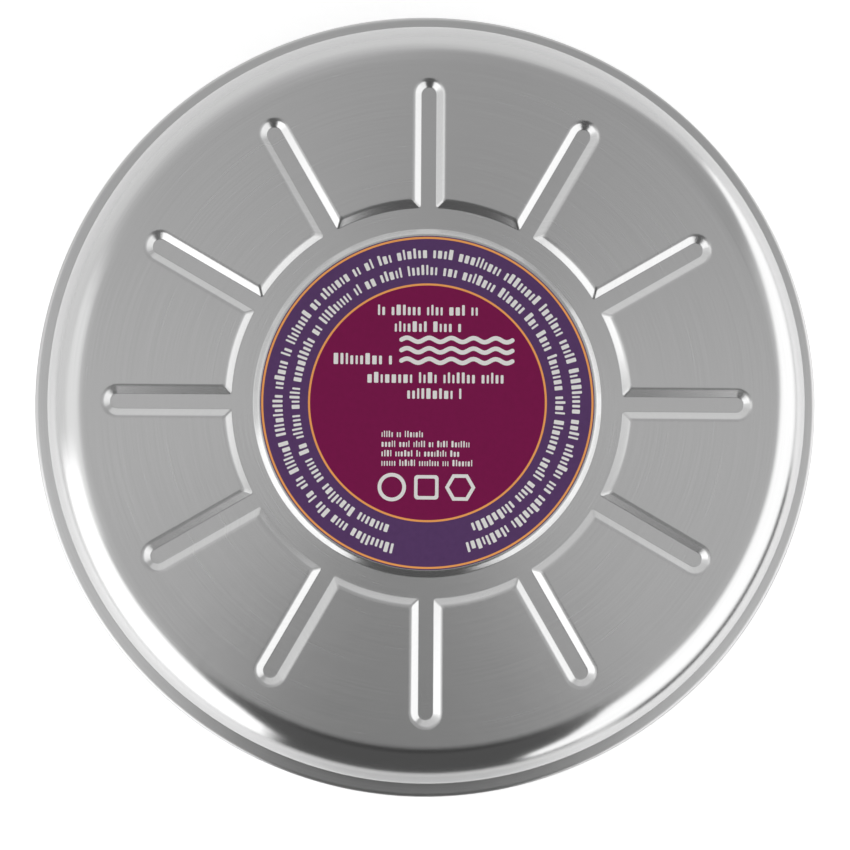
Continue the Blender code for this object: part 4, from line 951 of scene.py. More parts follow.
shapes = bmesh.new()
for number in range(3):
    flat_ink(shapes, wave_outline(-0.0078, 0.0250, 0.0124 + 0.0031 * number, 0.0006, 5, 0.0013))
for across, outer, inner, sides in ((-0.0104, 0.0042, 0.0031, 64), (0.0098, 0.0045, 0.0033, 6)):
    centre = (across, SYMBOLS_Y)
    flat_ink(shapes, circle(outer, sides, centre), [circle(inner, sides, centre)])
centre = (-0.0002, SYMBOLS_Y)
flat_ink(shapes, rounded_square(centre, 0.0036, 0.0010), [rounded_square(centre, 0.0026, 0.0005)])
label_shapes = make_piece("label_shapes", shapes, label_ink)
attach(label_shapes, "drum")


# The inlet is one black moulding of heat-proof plastic: a round flange let into the rear shell's seat
# and a block that holds the appliance inlet's mouth. Its face has the mould's fine spark texture, its
# edges are rounded, and the lamp's hole and three countersinks go through the flange.
FLANGE_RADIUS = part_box("inlet_housing")[1].x
FLANGE_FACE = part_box("inlet_housing")[0].z
SEAT_GAP = 0.0001
FLANGE_BACK = SEAT_DROP - SEAT_GAP
FLANGE_EDGE = 0.0009
BLOCK_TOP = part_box("inlet_housing")[1].z
BLOCK_CORNER = 0.002
MOUTH_CORNER = 0.0012
MOUTH_FLOOR = BLOCK_TOP - 0.003
MOULD_EDGE = 0.00025
LENS_HOLE = LENS_RADIUS + HOLE_GAP
SCREW_HEAD_RADIUS = 0.0032
SCREW_HEAD = 0.0017
SCREW_FACE = FLANGE_FACE + 0.0002
BLADE_HALF = Vector((0.0005, 0.0021))
BLADE_PLACES = ((0.007, -0.002), (-0.007, -0.002), (0.0, 0.002))
MOULD_BLACK = (0.016, 0.016, 0.017)
MOULD_GREY = (0.026, 0.026, 0.027)
RUBBED_GREY = (0.075, 0.075, 0.078)


def rounded_outline(corners, radius=0.0):
    """A closed outline with an arc at every corner; a corner may carry its own radius."""
    start = (Vector(corners[-1][:2]) + Vector(corners[0][:2])) / 2
    bends = [(*corner[:2], *(corner[2:] or [radius])) for corner in corners]
    return soften([start, *bends, start], steps=4)[:-1]


def rectangle(low_x, low_y, high_x, high_y):
    return [(low_x, low_y), (high_x, low_y), (high_x, high_y), (low_x, high_y)]


def tube(shape, *rows):
    """Walls between rows of (points, height), each row a closed loop of as many points."""
    made = [[shape.verts.new((x, y, height)) for x, y in points] for points, height in rows]
    for first, second in zip(made, made[1:]):
        for i in range(len(first)):
            shape.faces.new((first[i - 1], first[i], second[i], second[i - 1]))


def break_edges(piece, width, segments=2, sharp=40.0):
    """Round a solid's sharp edges a little, as a real tool leaves them."""
    weld = piece.modifiers.new("weld", "WELD")
    weld.merge_threshold = MERGE
    rounding = piece.modifiers.new("edges", "BEVEL")
    rounding.width = width
    rounding.segments = segments
    rounding.limit_method = "ANGLE"
    rounding.angle_limit = math.radians(sharp)
    rounding.use_clamp_overlap = True
    rounding.harden_normals = True


def edged_solid(name, shape, look, node, edge):
    """A piece with broken edges that stands for one CAD solid."""
    piece = make_piece(name, shape, look)
    smooth(piece)
    break_edges(piece, edge)
    settle(piece)
    dress(piece, [node])


def scuffs_group():
    """Fine scratches in three directions, and specks of grime between them."""
    sizes = {"Scuff Width": 0.0002, "Scuff Length": 0.012, "Speck Size": 0.001}
    group, start, end = new_group("scuffs", sizes, ("Scuffs", "Specks"))
    place = object_place(group)
    stretch = add_node(group, "ShaderNodeCombineXYZ")
    for axis, size in zip("XYZ", ("Scuff Length", "Scuff Width", "Scuff Width")):
        group.links.new(start[size], stretch.inputs[axis])
    scuffs = None
    for turn in (0.5, 1.6, 2.7):
        swung = add_node(group, "ShaderNodeMapping")
        swung.inputs["Rotation"].default_value = (turn / 3, turn / 4, turn)
        group.links.new(place, swung.inputs["Vector"])
        scaled = add_node(group, "ShaderNodeVectorMath", operation="DIVIDE")
        group.links.new(swung.outputs[0], scaled.inputs[0])
        group.links.new(stretch.outputs[0], scaled.inputs[1])
        mark = smooth_between(group, noise(group, scaled.outputs[0], 1.0, detail=1.0), 0.70, 0.78)
        scuffs = mark if scuffs is None else maths(group, "MAXIMUM", scuffs, mark)
    group.links.new(scuffs, end["Scuffs"])
    specks = noise(group, place, start["Speck Size"], detail=6.0, roughness=0.7)
    group.links.new(smooth_between(group, specks, 0.60, 0.72), end["Specks"])
    return group


def mould_skin_group():
    """The skin that a spark-cut mould leaves: even grit, slow sink marks and patches of gloss."""
    group, start, end = new_group("mould_skin", {"Grit Size": 0.0002, "Sink Size": 0.02}, ("Grit", "Sink"))
    place = object_place(group)
    group.links.new(noise(group, place, start["Grit Size"], detail=4.0, roughness=0.65), end["Grit"])
    group.links.new(noise(group, place, start["Sink Size"], detail=2.0), end["Sink"])
    return group


scuffs = scuffs_group()
mould_skin = mould_skin_group()


def moulded(name, first, second, rubbed, roughness, grit_size=0.0002, grit_depth=0.00001):
    """A moulded or fired surface: a gritty skin over slow sink marks, and paler scuffs where it was rubbed."""
    look, tree, shader = new_material(f"{name}_finish")
    skin = use_group(tree, mould_skin, grit_size=grit_size, sink_size=0.015)
    marks = use_group(tree, scuffs, scuff_width=0.00015, scuff_length=0.006, speck_size=0.0012)
    colour = tint(tree, skin.outputs["Grit"], first, second)
    worn = maths(tree, "MULTIPLY", marks.outputs["Scuffs"], 0.5)
    tint(tree, worn, colour, rubbed, shader.inputs["Base Color"])
    low, high = roughness
    spread(tree, skin.outputs["Sink"], low, high, shader.inputs["Roughness"])
    slow = bump(tree, skin.outputs["Sink"], 0.00005, shader)
    bump(tree, skin.outputs["Grit"], grit_depth, shader, slow)
    return look, tree, shader


black_moulding = moulded("black_moulding", MOULD_BLACK, MOULD_GREY, RUBBED_GREY, (0.36, 0.50))[0]
block = rounded_outline(mouth_outline(HOUSING_WALL), BLOCK_CORNER)
mouth = rounded_outline(mouth_outline(0), MOUTH_CORNER)
slots = [rectangle(x - BLADE_HALF.x, y - BLADE_HALF.y, x + BLADE_HALF.x, y + BLADE_HALF.y)
         for x, y in BLADE_PLACES]
lens_hole = circle(LENS_HOLE, 64, LENS_PLACE)
sink_mouths = [circle(SCREW_HEAD_RADIUS + HOLE_GAP, 48, place) for place in SCREW_PLACES]
sink_feet = [circle(SCREW_RADIUS + HOLE_GAP, 48, place) for place in SCREW_PLACES]
flange_rim = soften([(0, FLANGE_FACE), (FLANGE_RADIUS, FLANGE_FACE, FLANGE_EDGE),
                     (FLANGE_RADIUS, FLANGE_BACK)])[1:]
flange_rows = [(circle(radius, 192), height) for radius, height in flange_rim]
inlet_shape = bmesh.new()
tube(inlet_shape, *flange_rows)
tube(inlet_shape, (lens_hole, FLANGE_FACE), (lens_hole, FLANGE_BACK))
tube(inlet_shape, (mouth, FLANGE_FACE), (mouth, MOUTH_FLOOR))
tube(inlet_shape, (block, FLANGE_BACK), (block, BLOCK_TOP))
for wide, narrow in zip(sink_mouths, sink_feet):
    tube(inlet_shape, (wide, FLANGE_FACE), (wide, SCREW_FACE), (narrow, SCREW_FACE + SCREW_HEAD),
         (narrow, FLANGE_BACK))
for slot in slots:
    tube(inlet_shape, (slot, MOUTH_FLOOR), (slot, BLOCK_TOP))
flat_with_holes(inlet_shape, flange_rows[0][0], [mouth, lens_hole, *sink_mouths], FLANGE_FACE)
flat_with_holes(inlet_shape, flange_rows[-1][0], [block, lens_hole, *sink_feet], FLANGE_BACK)
flat_with_holes(inlet_shape, mouth, slots, MOUTH_FLOOR)
flat_with_holes(inlet_shape, block, slots, BLOCK_TOP)
bmesh.ops.remove_doubles(inlet_shape, verts=inlet_shape.verts, dist=MERGE)
bmesh.ops.recalc_face_normals(inlet_shape, faces=inlet_shape.faces)
edged_solid("inlet_moulding", inlet_shape, black_moulding, "inlet_housing", MOULD_EDGE)


# Three flat pins of nickel-plated brass stand in the inlet's mouth, with a thin blade behind each one
# for its lead. They are stamped, so their edges are only just broken.
PLATING_LIGHT = (0.66, 0.65, 0.62)
PLATING_DARK = (0.50, 0.49, 0.46)
PLATING_SPECK = (0.30, 0.28, 0.25)
SHEARED_EDGE = 0.00012


def worked_metal(name, light, dark, speck, roughness, line_width=0.0002, scuff_depth=0.000003, cloud_size=0.006,
                 centre=(0.0, 0.0)):
    """A metal with fine tool marks round a centre, cloudy colour, scuffs and specks of tarnish."""
    look, tree, shader = new_material(f"{name}_finish")
    shader.inputs["Metallic"].default_value = 1.0
    grain = use_group(tree, turned_grain, line_width=line_width, line_length=0.4, cloud_size=cloud_size,
                      centre_x=centre[0], centre_y=centre[1])
    marks = use_group(tree, scuffs, scuff_width=0.0001, scuff_length=0.005, speck_size=0.0015)
    clouded = tint(tree, grain.outputs["Clouds"], dark, light)
    tarnish = maths(tree, "MULTIPLY", marks.outputs["Specks"], 0.45)
    colour = tint(tree, tarnish, clouded, speck, shader.inputs["Base Color"])
    low, high = roughness
    even = spread(tree, grain.outputs["Lines"], low, high)
    rough = maths(tree, "ADD", even, maths(tree, "MULTIPLY", marks.outputs["Scuffs"], 0.12), clamp=True)
    tree.links.new(rough, shader.inputs["Roughness"])
    fine = bump(tree, grain.outputs["Lines"], scuff_depth, shader)
    bump(tree, marks.outputs["Scuffs"], scuff_depth, shader, fine)
    return look, tree, shader, colour


def finish_solid(node, look, edge=0.0):
    """Give a CAD solid its finish and break its edges."""
    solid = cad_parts[node]
    for part in solid.material_slots:
        part.material = look
    if edge:
        break_edges(solid, edge, sharp=30.0)


plated_steel = worked_metal("plated_steel", PLATING_LIGHT, PLATING_DARK, PLATING_SPECK, (0.22, 0.34))[0]
for node in ("line_pin", "neutral_pin", "earth_pin"):
    finish_solid(node, plated_steel, edge=SHEARED_EDGE)


# Three countersunk steel screws with cross recesses pull the inlet's flange to a flat backing ring
# inside the shell. Their threads are rolled and their heads are zinc-plated.
SCREW_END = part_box("housing_screw_1")[1].z
OVERRUN = 0.001
THREAD_PITCH = 0.0006
THREAD_DEPTH = 0.0003
CROSS_REACH = 0.0020
CROSS_HALF = 0.00052
CROSS_DEPTH = 0.0015
CROSS_TAPER = 0.6
HEAD_EDGE = 0.0002
RING_BORE = 0.0375


def carve(piece, shape, operation="DIFFERENCE"):
    """Cut a solid with another one, join it on or keep what they share, and weld the result."""
    tool = make_piece("tool", shape, piece.data.materials[0])
    step = piece.modifiers.new("carve", "BOOLEAN")
    step.operation = operation
    step.solver = "EXACT"
    step.object = tool
    weld = piece.modifiers.new("weld", "WELD")
    weld.merge_threshold = MERGE / 10
    settle(piece)
    bpy.data.objects.remove(tool)


def threads(radius, start, end):
    """The zigzag of a thread down a section, as (radius, height) points."""
    count = int(abs(end - start) / THREAD_PITCH)
    step = (end - start) / count
    line = []
    for turn in range(count):
        line += [(radius - THREAD_DEPTH, start + step * turn), (radius, start + step * (turn + 0.5))]
    return line


def crossed_screw(section, centre, reach=CROSS_REACH, half=CROSS_HALF, depth=CROSS_DEPTH, steps=40):
    """A turned screw, its section from the face's rim to the tip's, with a cross recess in its face."""
    shape = bmesh.new()
    corners = [(reach, -half), (reach, half), (half, half), (half, reach), (-half, reach), (-half, half),
               (-reach, half), (-reach, -half), (-half, -half), (-half, -reach), (half, -reach), (half, -half)]
    mouth, bottom = ([(centre[0] + x * size, centre[1] + y * size) for x, y in corners]
                     for size in (1, CROSS_TAPER))
    face, tip = section[0][1], section[-1][1]
    tube(shape, *[(circle(radius, steps, centre), height) for radius, height in section])
    tube(shape, (mouth, face), (bottom, face + depth))
    flat_with_holes(shape, circle(section[0][0], steps, centre), [mouth], face)
    flat_with_holes(shape, bottom, [], face + depth)
    flat_with_holes(shape, circle(section[-1][0], steps, centre), [], tip)
    bmesh.ops.remove_doubles(shape, verts=shape.verts, dist=MERGE / 10)
    bmesh.ops.recalc_face_normals(shape, faces=shape.faces)
    return shape


screw_section = soften([(0, SCREW_FACE), (SCREW_HEAD_RADIUS, SCREW_FACE, HEAD_EDGE),
                        (SCREW_RADIUS, SCREW_FACE + SCREW_HEAD)], steps=3)[1:]
screw_section += threads(SCREW_RADIUS, SCREW_FACE + SCREW_HEAD + THREAD_PITCH, SCREW_END - THREAD_PITCH)
screw_section.append((SCREW_RADIUS - THREAD_DEPTH, SCREW_END))
screws = make_piece("housing_screws", crossed_screw(screw_section, SCREW_PLACES[0]), plated_steel)
run_tree(screws, turn_round, turn_round_keys, count=3, joint=MERGE / 10, material=plated_steel)
smooth(screws)
dress(screws, ["housing_screw_1", "housing_screw_2", "housing_screw_3"])

ring_low, ring_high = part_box("housing_ring")
ring_holes = [circle(SCREW_RADIUS + HOLE_GAP, 32, place) for place in SCREW_PLACES]
ring_shape = slab(circle(ring_high.x, 144), ring_low.z, ring_high.z, [circle(RING_BORE, 144), *ring_holes])
edged_solid("backing_ring", ring_shape, plated_steel, "housing_ring", SHEARED_EDGE)


# The pilot lamp is a clear red lens pushed through the flange from inside, with a small neon lamp in
# it. The lamp has two nickel rods in its glass and a banded resistor on one leg.
LENS_FACE, LENS_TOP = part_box("lamp_lens")[0].z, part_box("lamp_lens")[1].z
LENS_WALL = 0.0008
LENS_CROWN = 0.0012
LENS_RIM = 0.0006
COLLAR_THICKNESS = 0.001
COLLAR_LOW = SEAT_DROP
COLLAR_HIGH = SEAT_DROP + COLLAR_THICKNESS
LENS_RED = (0.80, 0.035, 0.012)
LENS_DEEP = (0.55, 0.012, 0.006)
NEON_GLASS = (0.98, 0.90, 0.84)
NEON_TINT = (0.95, 0.78, 0.66)
BULB_NOSE = 0.95
BULB_FOOT_EDGE = 0.0005
ROD_RADIUS = 0.0004
ROD_APART = 0.0011
ROD_DROP = 0.0030
ROD_FOOT = 0.0012
RESISTOR_EDGE = 0.0003
RESISTOR_WAIST = 0.88
RESISTOR_TAN = (0.56, 0.42, 0.25)
RESISTOR_PALE = (0.64, 0.50, 0.32)
RESISTOR_BANDS = ((0.18, (0.20, 0.07, 0.03)), (0.34, (0.02, 0.02, 0.02)), (0.50, (0.70, 0.52, 0.04)),
                  (0.80, (0.60, 0.42, 0.16)))
BAND_HALF = 0.00035
BAND_BLUR = 0.00004


def clear_red_material():
    look, tree, shader = new_material("red_lens_finish")
    shader.inputs["Transmission Weight"].default_value = 0.85
    shader.inputs["IOR"].default_value = 1.49
    skin = use_group(tree, mould_skin, grit_size=0.0006, sink_size=0.004)
    marks = use_group(tree, scuffs, scuff_width=0.00008, scuff_length=0.002, speck_size=0.0008)
    tint(tree, skin.outputs["Sink"], LENS_DEEP, LENS_RED, shader.inputs["Base Color"])
    worn = maths(tree, "MULTIPLY", marks.outputs["Scuffs"], 0.15)
    rough = maths(tree, "ADD", spread(tree, skin.outputs["Grit"], 0.06, 0.12), worn, clamp=True)
    tree.links.new(rough, shader.inputs["Roughness"])
    bump(tree, skin.outputs["Grit"], 0.00001, shader)
    return look


def neon_glass_material():
    look, tree, shader = new_material("lamp_glass_finish")
    shader.inputs["Transmission Weight"].default_value = 0.9
    shader.inputs["IOR"].default_value = 1.5
    skin = use_group(tree, mould_skin, grit_size=0.0008, sink_size=0.003)
    tint(tree, skin.outputs["Sink"], NEON_GLASS, NEON_TINT, shader.inputs["Base Color"])
    spread(tree, skin.outputs["Grit"], 0.03, 0.08, shader.inputs["Roughness"])
    bump(tree, skin.outputs["Sink"], 0.00003, shader)
    return look


def resistor_material(low, high):
    look, tree, shader = moulded("resistor_body", RESISTOR_TAN, RESISTOR_PALE, RESISTOR_PALE, (0.35, 0.50),
                                 grit_size=0.0003, grit_depth=0.000006)
    colour = shader.inputs["Base Color"].links[0].from_socket
    height = axes(tree, object_place(tree))["Z"]
    for share, paint in RESISTOR_BANDS:
        at = low + (high - low) * share
        painted = band(tree, height, at - BAND_HALF, at + BAND_HALF, BAND_BLUR)
        colour = tint(tree, painted, colour, paint)
    tree.links.new(colour, shader.inputs["Base Color"])
    return look


lens_inner = LENS_RADIUS - LENS_WALL
crown_inside = LENS_FACE + LENS_CROWN + LENS_WALL
lens_section = soften([(0, LENS_FACE), (lens_inner, LENS_FACE + LENS_CROWN / 4, LENS_RIM),
                       (LENS_RADIUS, LENS_FACE + LENS_CROWN, LENS_RIM / 2), (LENS_RADIUS, COLLAR_LOW)], steps=6)
lens_section += [(LENS_RADIUS + LENS_COLLAR, COLLAR_LOW), (LENS_RADIUS + LENS_COLLAR, COLLAR_HIGH),
                 (LENS_RADIUS, COLLAR_HIGH), (LENS_RADIUS, LENS_TOP), (lens_inner, LENS_TOP)]
lens_section += [(lens_inner, crown_inside), (0, crown_inside)]
turned_solid("pilot_lens", lens_section, clear_red_material(), "lamp_lens", LENS_PLACE)

lamp_low, lamp_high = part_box("neon_lamp")
bulb_section = soften([(0, lamp_low.z), (lamp_high.x, lamp_low.z, lamp_high.x * BULB_NOSE),
                       (lamp_high.x, lamp_high.z, BULB_FOOT_EDGE), (0, lamp_high.z)], steps=10)
turned_solid("neon_bulb", bulb_section, neon_glass_material(), "neon_lamp", LENS_PLACE, 48)
rod_low, rod_high = lamp_low.z + ROD_DROP, lamp_high.z - ROD_FOOT
rod_section = soften([(0, rod_low), (ROD_RADIUS, rod_low, ROD_RADIUS / 2), (ROD_RADIUS, rod_high, ROD_RADIUS / 2),
                      (0, rod_high)], steps=3)
rods = bmesh.new()
for side in (-1, 1):
    add_to(rods, turned(rod_section, 16, (side * ROD_APART, LENS_PLACE[1])))
neon_rods = make_piece("neon_rods", rods, plated_steel)
smooth(neon_rods)
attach(neon_rods, "drum")

part_low, part_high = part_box("lamp_resistor")
middle = ((part_low.x + part_high.x) / 2, (part_low.y + part_high.y) / 2)
width = (part_high.x - part_low.x) / 2
drop = (part_high.z - part_low.z) / 5
waist = width * RESISTOR_WAIST
body = [(width, part_low.z), (width, part_low.z + drop), (waist, part_low.z + drop * 1.3),
        (waist, part_high.z - drop * 1.3), (width, part_high.z - drop), (width, part_high.z)]
resistor_section = soften([(0, part_low.z), *[(*corner, RESISTOR_EDGE) for corner in body], (0, part_high.z)],
                          steps=3)
resistor_look = resistor_material(part_low.z, part_high.z)
turned_solid("banded_resistor", resistor_section, resistor_look, "lamp_resistor", middle, 32)


# One stud, welded under the boss, clamps the heater: a turned spacer sleeve above the plate, and a
# washer, a split spring washer and a hexagon nut below it. All of it is zinc-plated steel.
STUD_STEM = 0.0025
STUD_BORE = STUD_STEM + HOLE_GAP
STUD_HEAD = 0.001
TURNED_EDGE = 0.00025
NUT_CHAMFER = 0.0007


def ring_section(bore, radius, low, high):
    """The section of a flat ring with its edges broken."""
    return rounded_outline([(bore, low), (radius, low), (radius, high), (bore, high)], TURNED_EDGE)


stud_low, stud_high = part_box("centre_stud")
stud_section = soften([(0, stud_high.z), (stud_high.x, stud_high.z, TURNED_EDGE),
                       (stud_high.x, stud_high.z - STUD_HEAD, TURNED_EDGE),
                       (STUD_STEM, stud_high.z - STUD_HEAD)], steps=3)
stud_section += threads(STUD_STEM, stud_high.z - STUD_HEAD - THREAD_PITCH, stud_low.z + THREAD_PITCH)
stud_section += [(STUD_STEM - THREAD_DEPTH, stud_low.z), (0, stud_low.z)]
turned_solid("clamp_stud", stud_section, plated_steel, "centre_stud")
for name, node in (("clamp_sleeve", "spacer_sleeve"), ("clamp_washer", "plate_washer")):
    low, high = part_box(node)
    turned_solid(name, ring_section(STUD_BORE, high.x, low.z, high.z), plated_steel, node)
low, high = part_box("spring_washer")
split_ring = [polar(high.x, math.radians(degrees)) for degrees in range(12, 349, 6)]
split_ring += [polar(STUD_BORE, math.radians(degrees)) for degrees in range(348, 11, -6)]
edged_solid("split_spring_washer", slab(split_ring, low.z, high.z), plated_steel, "spring_washer", SHEARED_EDGE)
nut_low, nut_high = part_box("stud_nut")
nut = make_piece("clamp_nut", slab(circle(nut_high.x, 6), nut_low.z, nut_high.z), plated_steel)
inner, outer = nut_high.x - NUT_CHAMFER - OVERRUN / 2, nut_high.x + NUT_CHAMFER
round_stock = [(0, nut_low.z - OVERRUN), (inner, nut_low.z - OVERRUN / 3), (outer, nut_low.z + NUT_CHAMFER),
               (outer, nut_high.z - NUT_CHAMFER), (inner, nut_high.z + OVERRUN / 3), (0, nut_high.z + OVERRUN)]
carve(nut, turned(round_stock, 64), "INTERSECT")
carve(nut, slab(circle(STUD_BORE, 48), nut_low.z - OVERRUN, nut_high.z + OVERRUN))
smooth(nut, sharp=25.0)
dress(nut, ["stud_nut"])


# The heater is a sandwich: a flat ribbon of resistance alloy laid in legs between mica rings. A pressed
# plate of aluminised steel holds it up against the front shell.
MICA_BORE = 0.028
POST_PLACES = [polar(0.045752, math.radians(degrees)) for degrees in (62, 38)]
POST_STEM = 0.0014
POST_HEAD_RADIUS = 0.0032
POST_HOLE = POST_STEM + HOLE_GAP
BUSH_HOLE = POST_HOLE + 0.0013 + HOLE_GAP
EAR_PLACES = [(0.052092, side * 0.015) for side in (-1, 1)]
EAR_HOLE = 0.0018
RIVET_PLACE = (-0.006, 0.062046)
RIVET_STEM = 0.0012
FLAKE_SIZE = 0.0035
SPANGLE_SIZE = 0.006
MICA_GOLD = (0.56, 0.47, 0.33)
MICA_BROWN = (0.36, 0.28, 0.18)
MICA_SILVER = (0.70, 0.66, 0.56)
RIBBON_LIGHT = (0.46, 0.43, 0.38)
RIBBON_DARK = (0.30, 0.29, 0.28)
HEAT_BLUE = (0.20, 0.22, 0.30)
HEAT_STRAW = (0.52, 0.38, 0.20)
PLATE_LIGHT = (0.62, 0.63, 0.64)
PLATE_DARK = (0.48, 0.49, 0.51)


def cells(tree, size, kind="F1"):
    """Cell pattern in Object coordinates: the distance to a cell's middle or edge, and a value for each cell."""
    place = object_place(tree)
    made = add_node(tree, "ShaderNodeTexVoronoi", feature=kind)
    tree.links.new(place, made.inputs["Vector"])
    made.inputs["Scale"].default_value = 1 / size
    return made


def mica_material():
    look, tree, shader = new_material("mica_board_finish")
    value = axes(tree, cells(tree, FLAKE_SIZE).outputs["Color"])
    rims = cells(tree, FLAKE_SIZE, "DISTANCE_TO_EDGE")
    edge = smooth_between(tree, rims.outputs["Distance"], 0.06, 0.0)
    marks = use_group(tree, scuffs, scuff_width=0.00012, scuff_length=0.004, speck_size=0.0006)
    flake = tint(tree, value["X"], MICA_GOLD, MICA_BROWN)
    silver = maths(tree, "MULTIPLY", smooth_between(tree, value["Y"], 0.6, 0.9), 0.7)
    flake = tint(tree, silver, flake, MICA_SILVER)
    flake = tint(tree, maths(tree, "MULTIPLY", edge, 0.4), flake, MICA_BROWN)
    specks = maths(tree, "MULTIPLY", marks.outputs["Specks"], 0.5)
    tint(tree, specks, flake, MICA_BROWN, shader.inputs["Base Color"])
    spread(tree, value["Z"], 0.22, 0.5, shader.inputs["Roughness"])
    steps = bump(tree, value["X"], 0.00003, shader)
    bump(tree, marks.outputs["Scuffs"], 0.00001, shader, steps)
    return look


def ribbon_material():
    look, tree, shader, clouded = worked_metal("ribbon_alloy", RIBBON_LIGHT, RIBBON_DARK, HEAT_BLUE, (0.28, 0.42),
                                               line_width=0.00012)
    place = object_place(tree)
    heat = noise(tree, place, 0.02, detail=2.0)
    blued = tint(tree, smooth_between(tree, heat, 0.45, 0.62), clouded, HEAT_BLUE)
    straw = maths(tree, "MULTIPLY", band(tree, heat, 0.44, 0.50, 0.03), 0.7)
    tint(tree, straw, blued, HEAT_STRAW, shader.inputs["Base Color"])
    return look


def plate_material():
    look, tree, shader, clouded = worked_metal("plate_steel", PLATE_LIGHT, PLATE_DARK, PLATING_SPECK, (0.36, 0.48),
                                               line_width=0.0004, cloud_size=0.02)
    faint = maths(tree, "MULTIPLY", axes(tree, cells(tree, SPANGLE_SIZE).outputs["Color"])["X"], 0.35)
    tint(tree, faint, clouded, PLATE_DARK, shader.inputs["Base Color"])
    return look


def pressed_ring(name, node, holes, look):
    """A thin stamped disc with its holes, the size of its CAD solid."""
    low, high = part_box(node)
    piece = make_piece(name, slab(circle(high.x, 180), low.z, high.z, holes), look)
    smooth(piece)
    dress(piece, [node])


mica_board = mica_material()
mica_bore = circle(MICA_BORE, 96)
for name, node, radius in (("mica_cover", "front_mica", POST_HEAD_RADIUS + HOLE_GAP),
                           ("mica_core", "core_mica", POST_HOLE), ("mica_back", "rear_mica", BUSH_HOLE)):
    pressed_ring(name, node, [mica_bore] + [circle(radius, 32, place) for place in POST_PLACES], mica_board)
finish_solid("heater_ribbon", ribbon_material())
plate_holes = [circle(STUD_BORE, 48), *[circle(BUSH_HOLE, 32, place) for place in POST_PLACES],
               *[circle(EAR_HOLE, 32, place) for place in EAR_PLACES],
               circle(RIVET_STEM + HOLE_GAP, 32, RIVET_PLACE)]
pressed_ring("clamp_plate", "pressure_plate", plate_holes, plate_material())


# Each end of the ribbon is riveted to a brass post, which goes down through a white ceramic bush to a
# blade for its lead.
BRASS_LIGHT = (0.78, 0.58, 0.26)
BRASS_DARK = (0.62, 0.44, 0.18)
BRASS_SPECK = (0.30, 0.19, 0.08)
CERAMIC_WHITE = (0.80, 0.78, 0.72)
CERAMIC_CREAM = (0.70, 0.67, 0.60)
CERAMIC_STAIN = (0.48, 0.43, 0.36)
BLADE_ANGLES = (62, 38)
BLADE_SIZE = Vector((0.0048, 0.0008))
BLADE_TOP = 0.04295
BLADE_LAP = 0.0007
POST_HEAD = 0.0004
contact_brass = worked_metal("contact_brass", BRASS_LIGHT, BRASS_DARK, BRASS_SPECK, (0.24, 0.36))[0]
white_ceramic = moulded("white_ceramic", CERAMIC_WHITE, CERAMIC_CREAM, CERAMIC_STAIN, (0.28, 0.45),
                        grit_size=0.00035, grit_depth=0.000015)[0]
plate_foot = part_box("pressure_plate")[0].z - SEAT_GAP
for number, (place, degrees) in enumerate(zip(POST_PLACES, BLADE_ANGLES), 1):
    low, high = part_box(f"heater_post_{number}")
    shoulder, foot = high.z - POST_HEAD, BLADE_TOP - BLADE_LAP
    post_section = soften([(0, high.z), (POST_HEAD_RADIUS, high.z, 0.00015), (POST_HEAD_RADIUS, shoulder),
                           (POST_STEM, shoulder, 0.00005), (POST_STEM, foot), (0, foot)], steps=3)
    post = make_piece(f"ribbon_post_{number}", turned(post_section, 40, place), contact_brass)
    half_wide, half_thick = BLADE_SIZE / 2
    outline = rounded_outline(rectangle(-half_wide, low.z, half_wide, BLADE_TOP), 0.0006)
    blade = slab(outline, -half_thick, half_thick)
    stand = Matrix.Translation((*place, 0)) @ Matrix.Rotation(math.radians(degrees), 4, "Z")
    stand = stand @ Matrix.Rotation(math.pi / 2, 4, "X")
    bmesh.ops.transform(blade, matrix=stand, verts=blade.verts)
    carve(post, blade, "UNION")
    smooth(post)
    dress(post, [f"heater_post_{number}"])
    bush_low, bush_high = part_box(f"post_bush_{number}")
    collar = (bush_high.x - bush_low.x) / 2
    bush_section = rounded_outline([(POST_HOLE, bush_low.z), (collar, bush_low.z), (collar, plate_foot),
                                    (BUSH_HOLE - HOLE_GAP, plate_foot), (BUSH_HOLE - HOLE_GAP, bush_high.z),
                                    (POST_HOLE, bush_high.z)], TURNED_EDGE)
    turned_solid(f"ceramic_bush_{number}", bush_section, white_ceramic, f"post_bush_{number}", place, 48)


# The thermostat hangs under the plate on two screws: a drawn aluminium cap over a snap disc, a ceramic
# pin guide, and a black base with the contact arm and its two brass terminals. The disc moves the pin,
# and the pin moves the arm.
THERMOSTAT = (0.052092, 0.0)
CAP_WALL = 0.0005
CAP_BEND = 0.0006
CUP_RADIUS = 0.0085
ALUMINIUM_LIGHT = (0.80, 0.81, 0.82)
ALUMINIUM_DARK = (0.70, 0.71, 0.73)
BIMETAL_LIGHT = (0.62, 0.60, 0.55)
BIMETAL_DARK = (0.46, 0.42, 0.36)
CROWN_SHARE = 0.7
SCREW_HEAD_EDGE = 0.0005
SCREW_HEAD_SIDE = 0.0007
EAR_SCREW_STEM = 0.0015
BRACKET_EAR = 0.0036
DISC_THICKNESS = 0.0003
PIN_BORE = 0.00115
GUIDE_RIM = 0.0012
GUIDE_STEP = 0.0003
GUIDE_EDGE = 0.00012
BASE_WALL = 0.0014
BASE_FLOOR = 0.002
SLOT_GAP = 0.0002
TERMINAL_ASIDE = 0.0052
EAR_CROSS = (0.0012, 0.00035, 0.001)
cap_aluminium = worked_metal("cap_aluminium", ALUMINIUM_LIGHT, ALUMINIUM_DARK, PLATING_DARK, (0.24, 0.34),
                             line_width=0.00012, centre=THERMOSTAT)[0]
bimetal = worked_metal("bimetal", BIMETAL_LIGHT, BIMETAL_DARK, HEAT_STRAW, (0.26, 0.40), line_width=0.0001,
                       centre=THERMOSTAT)[0]
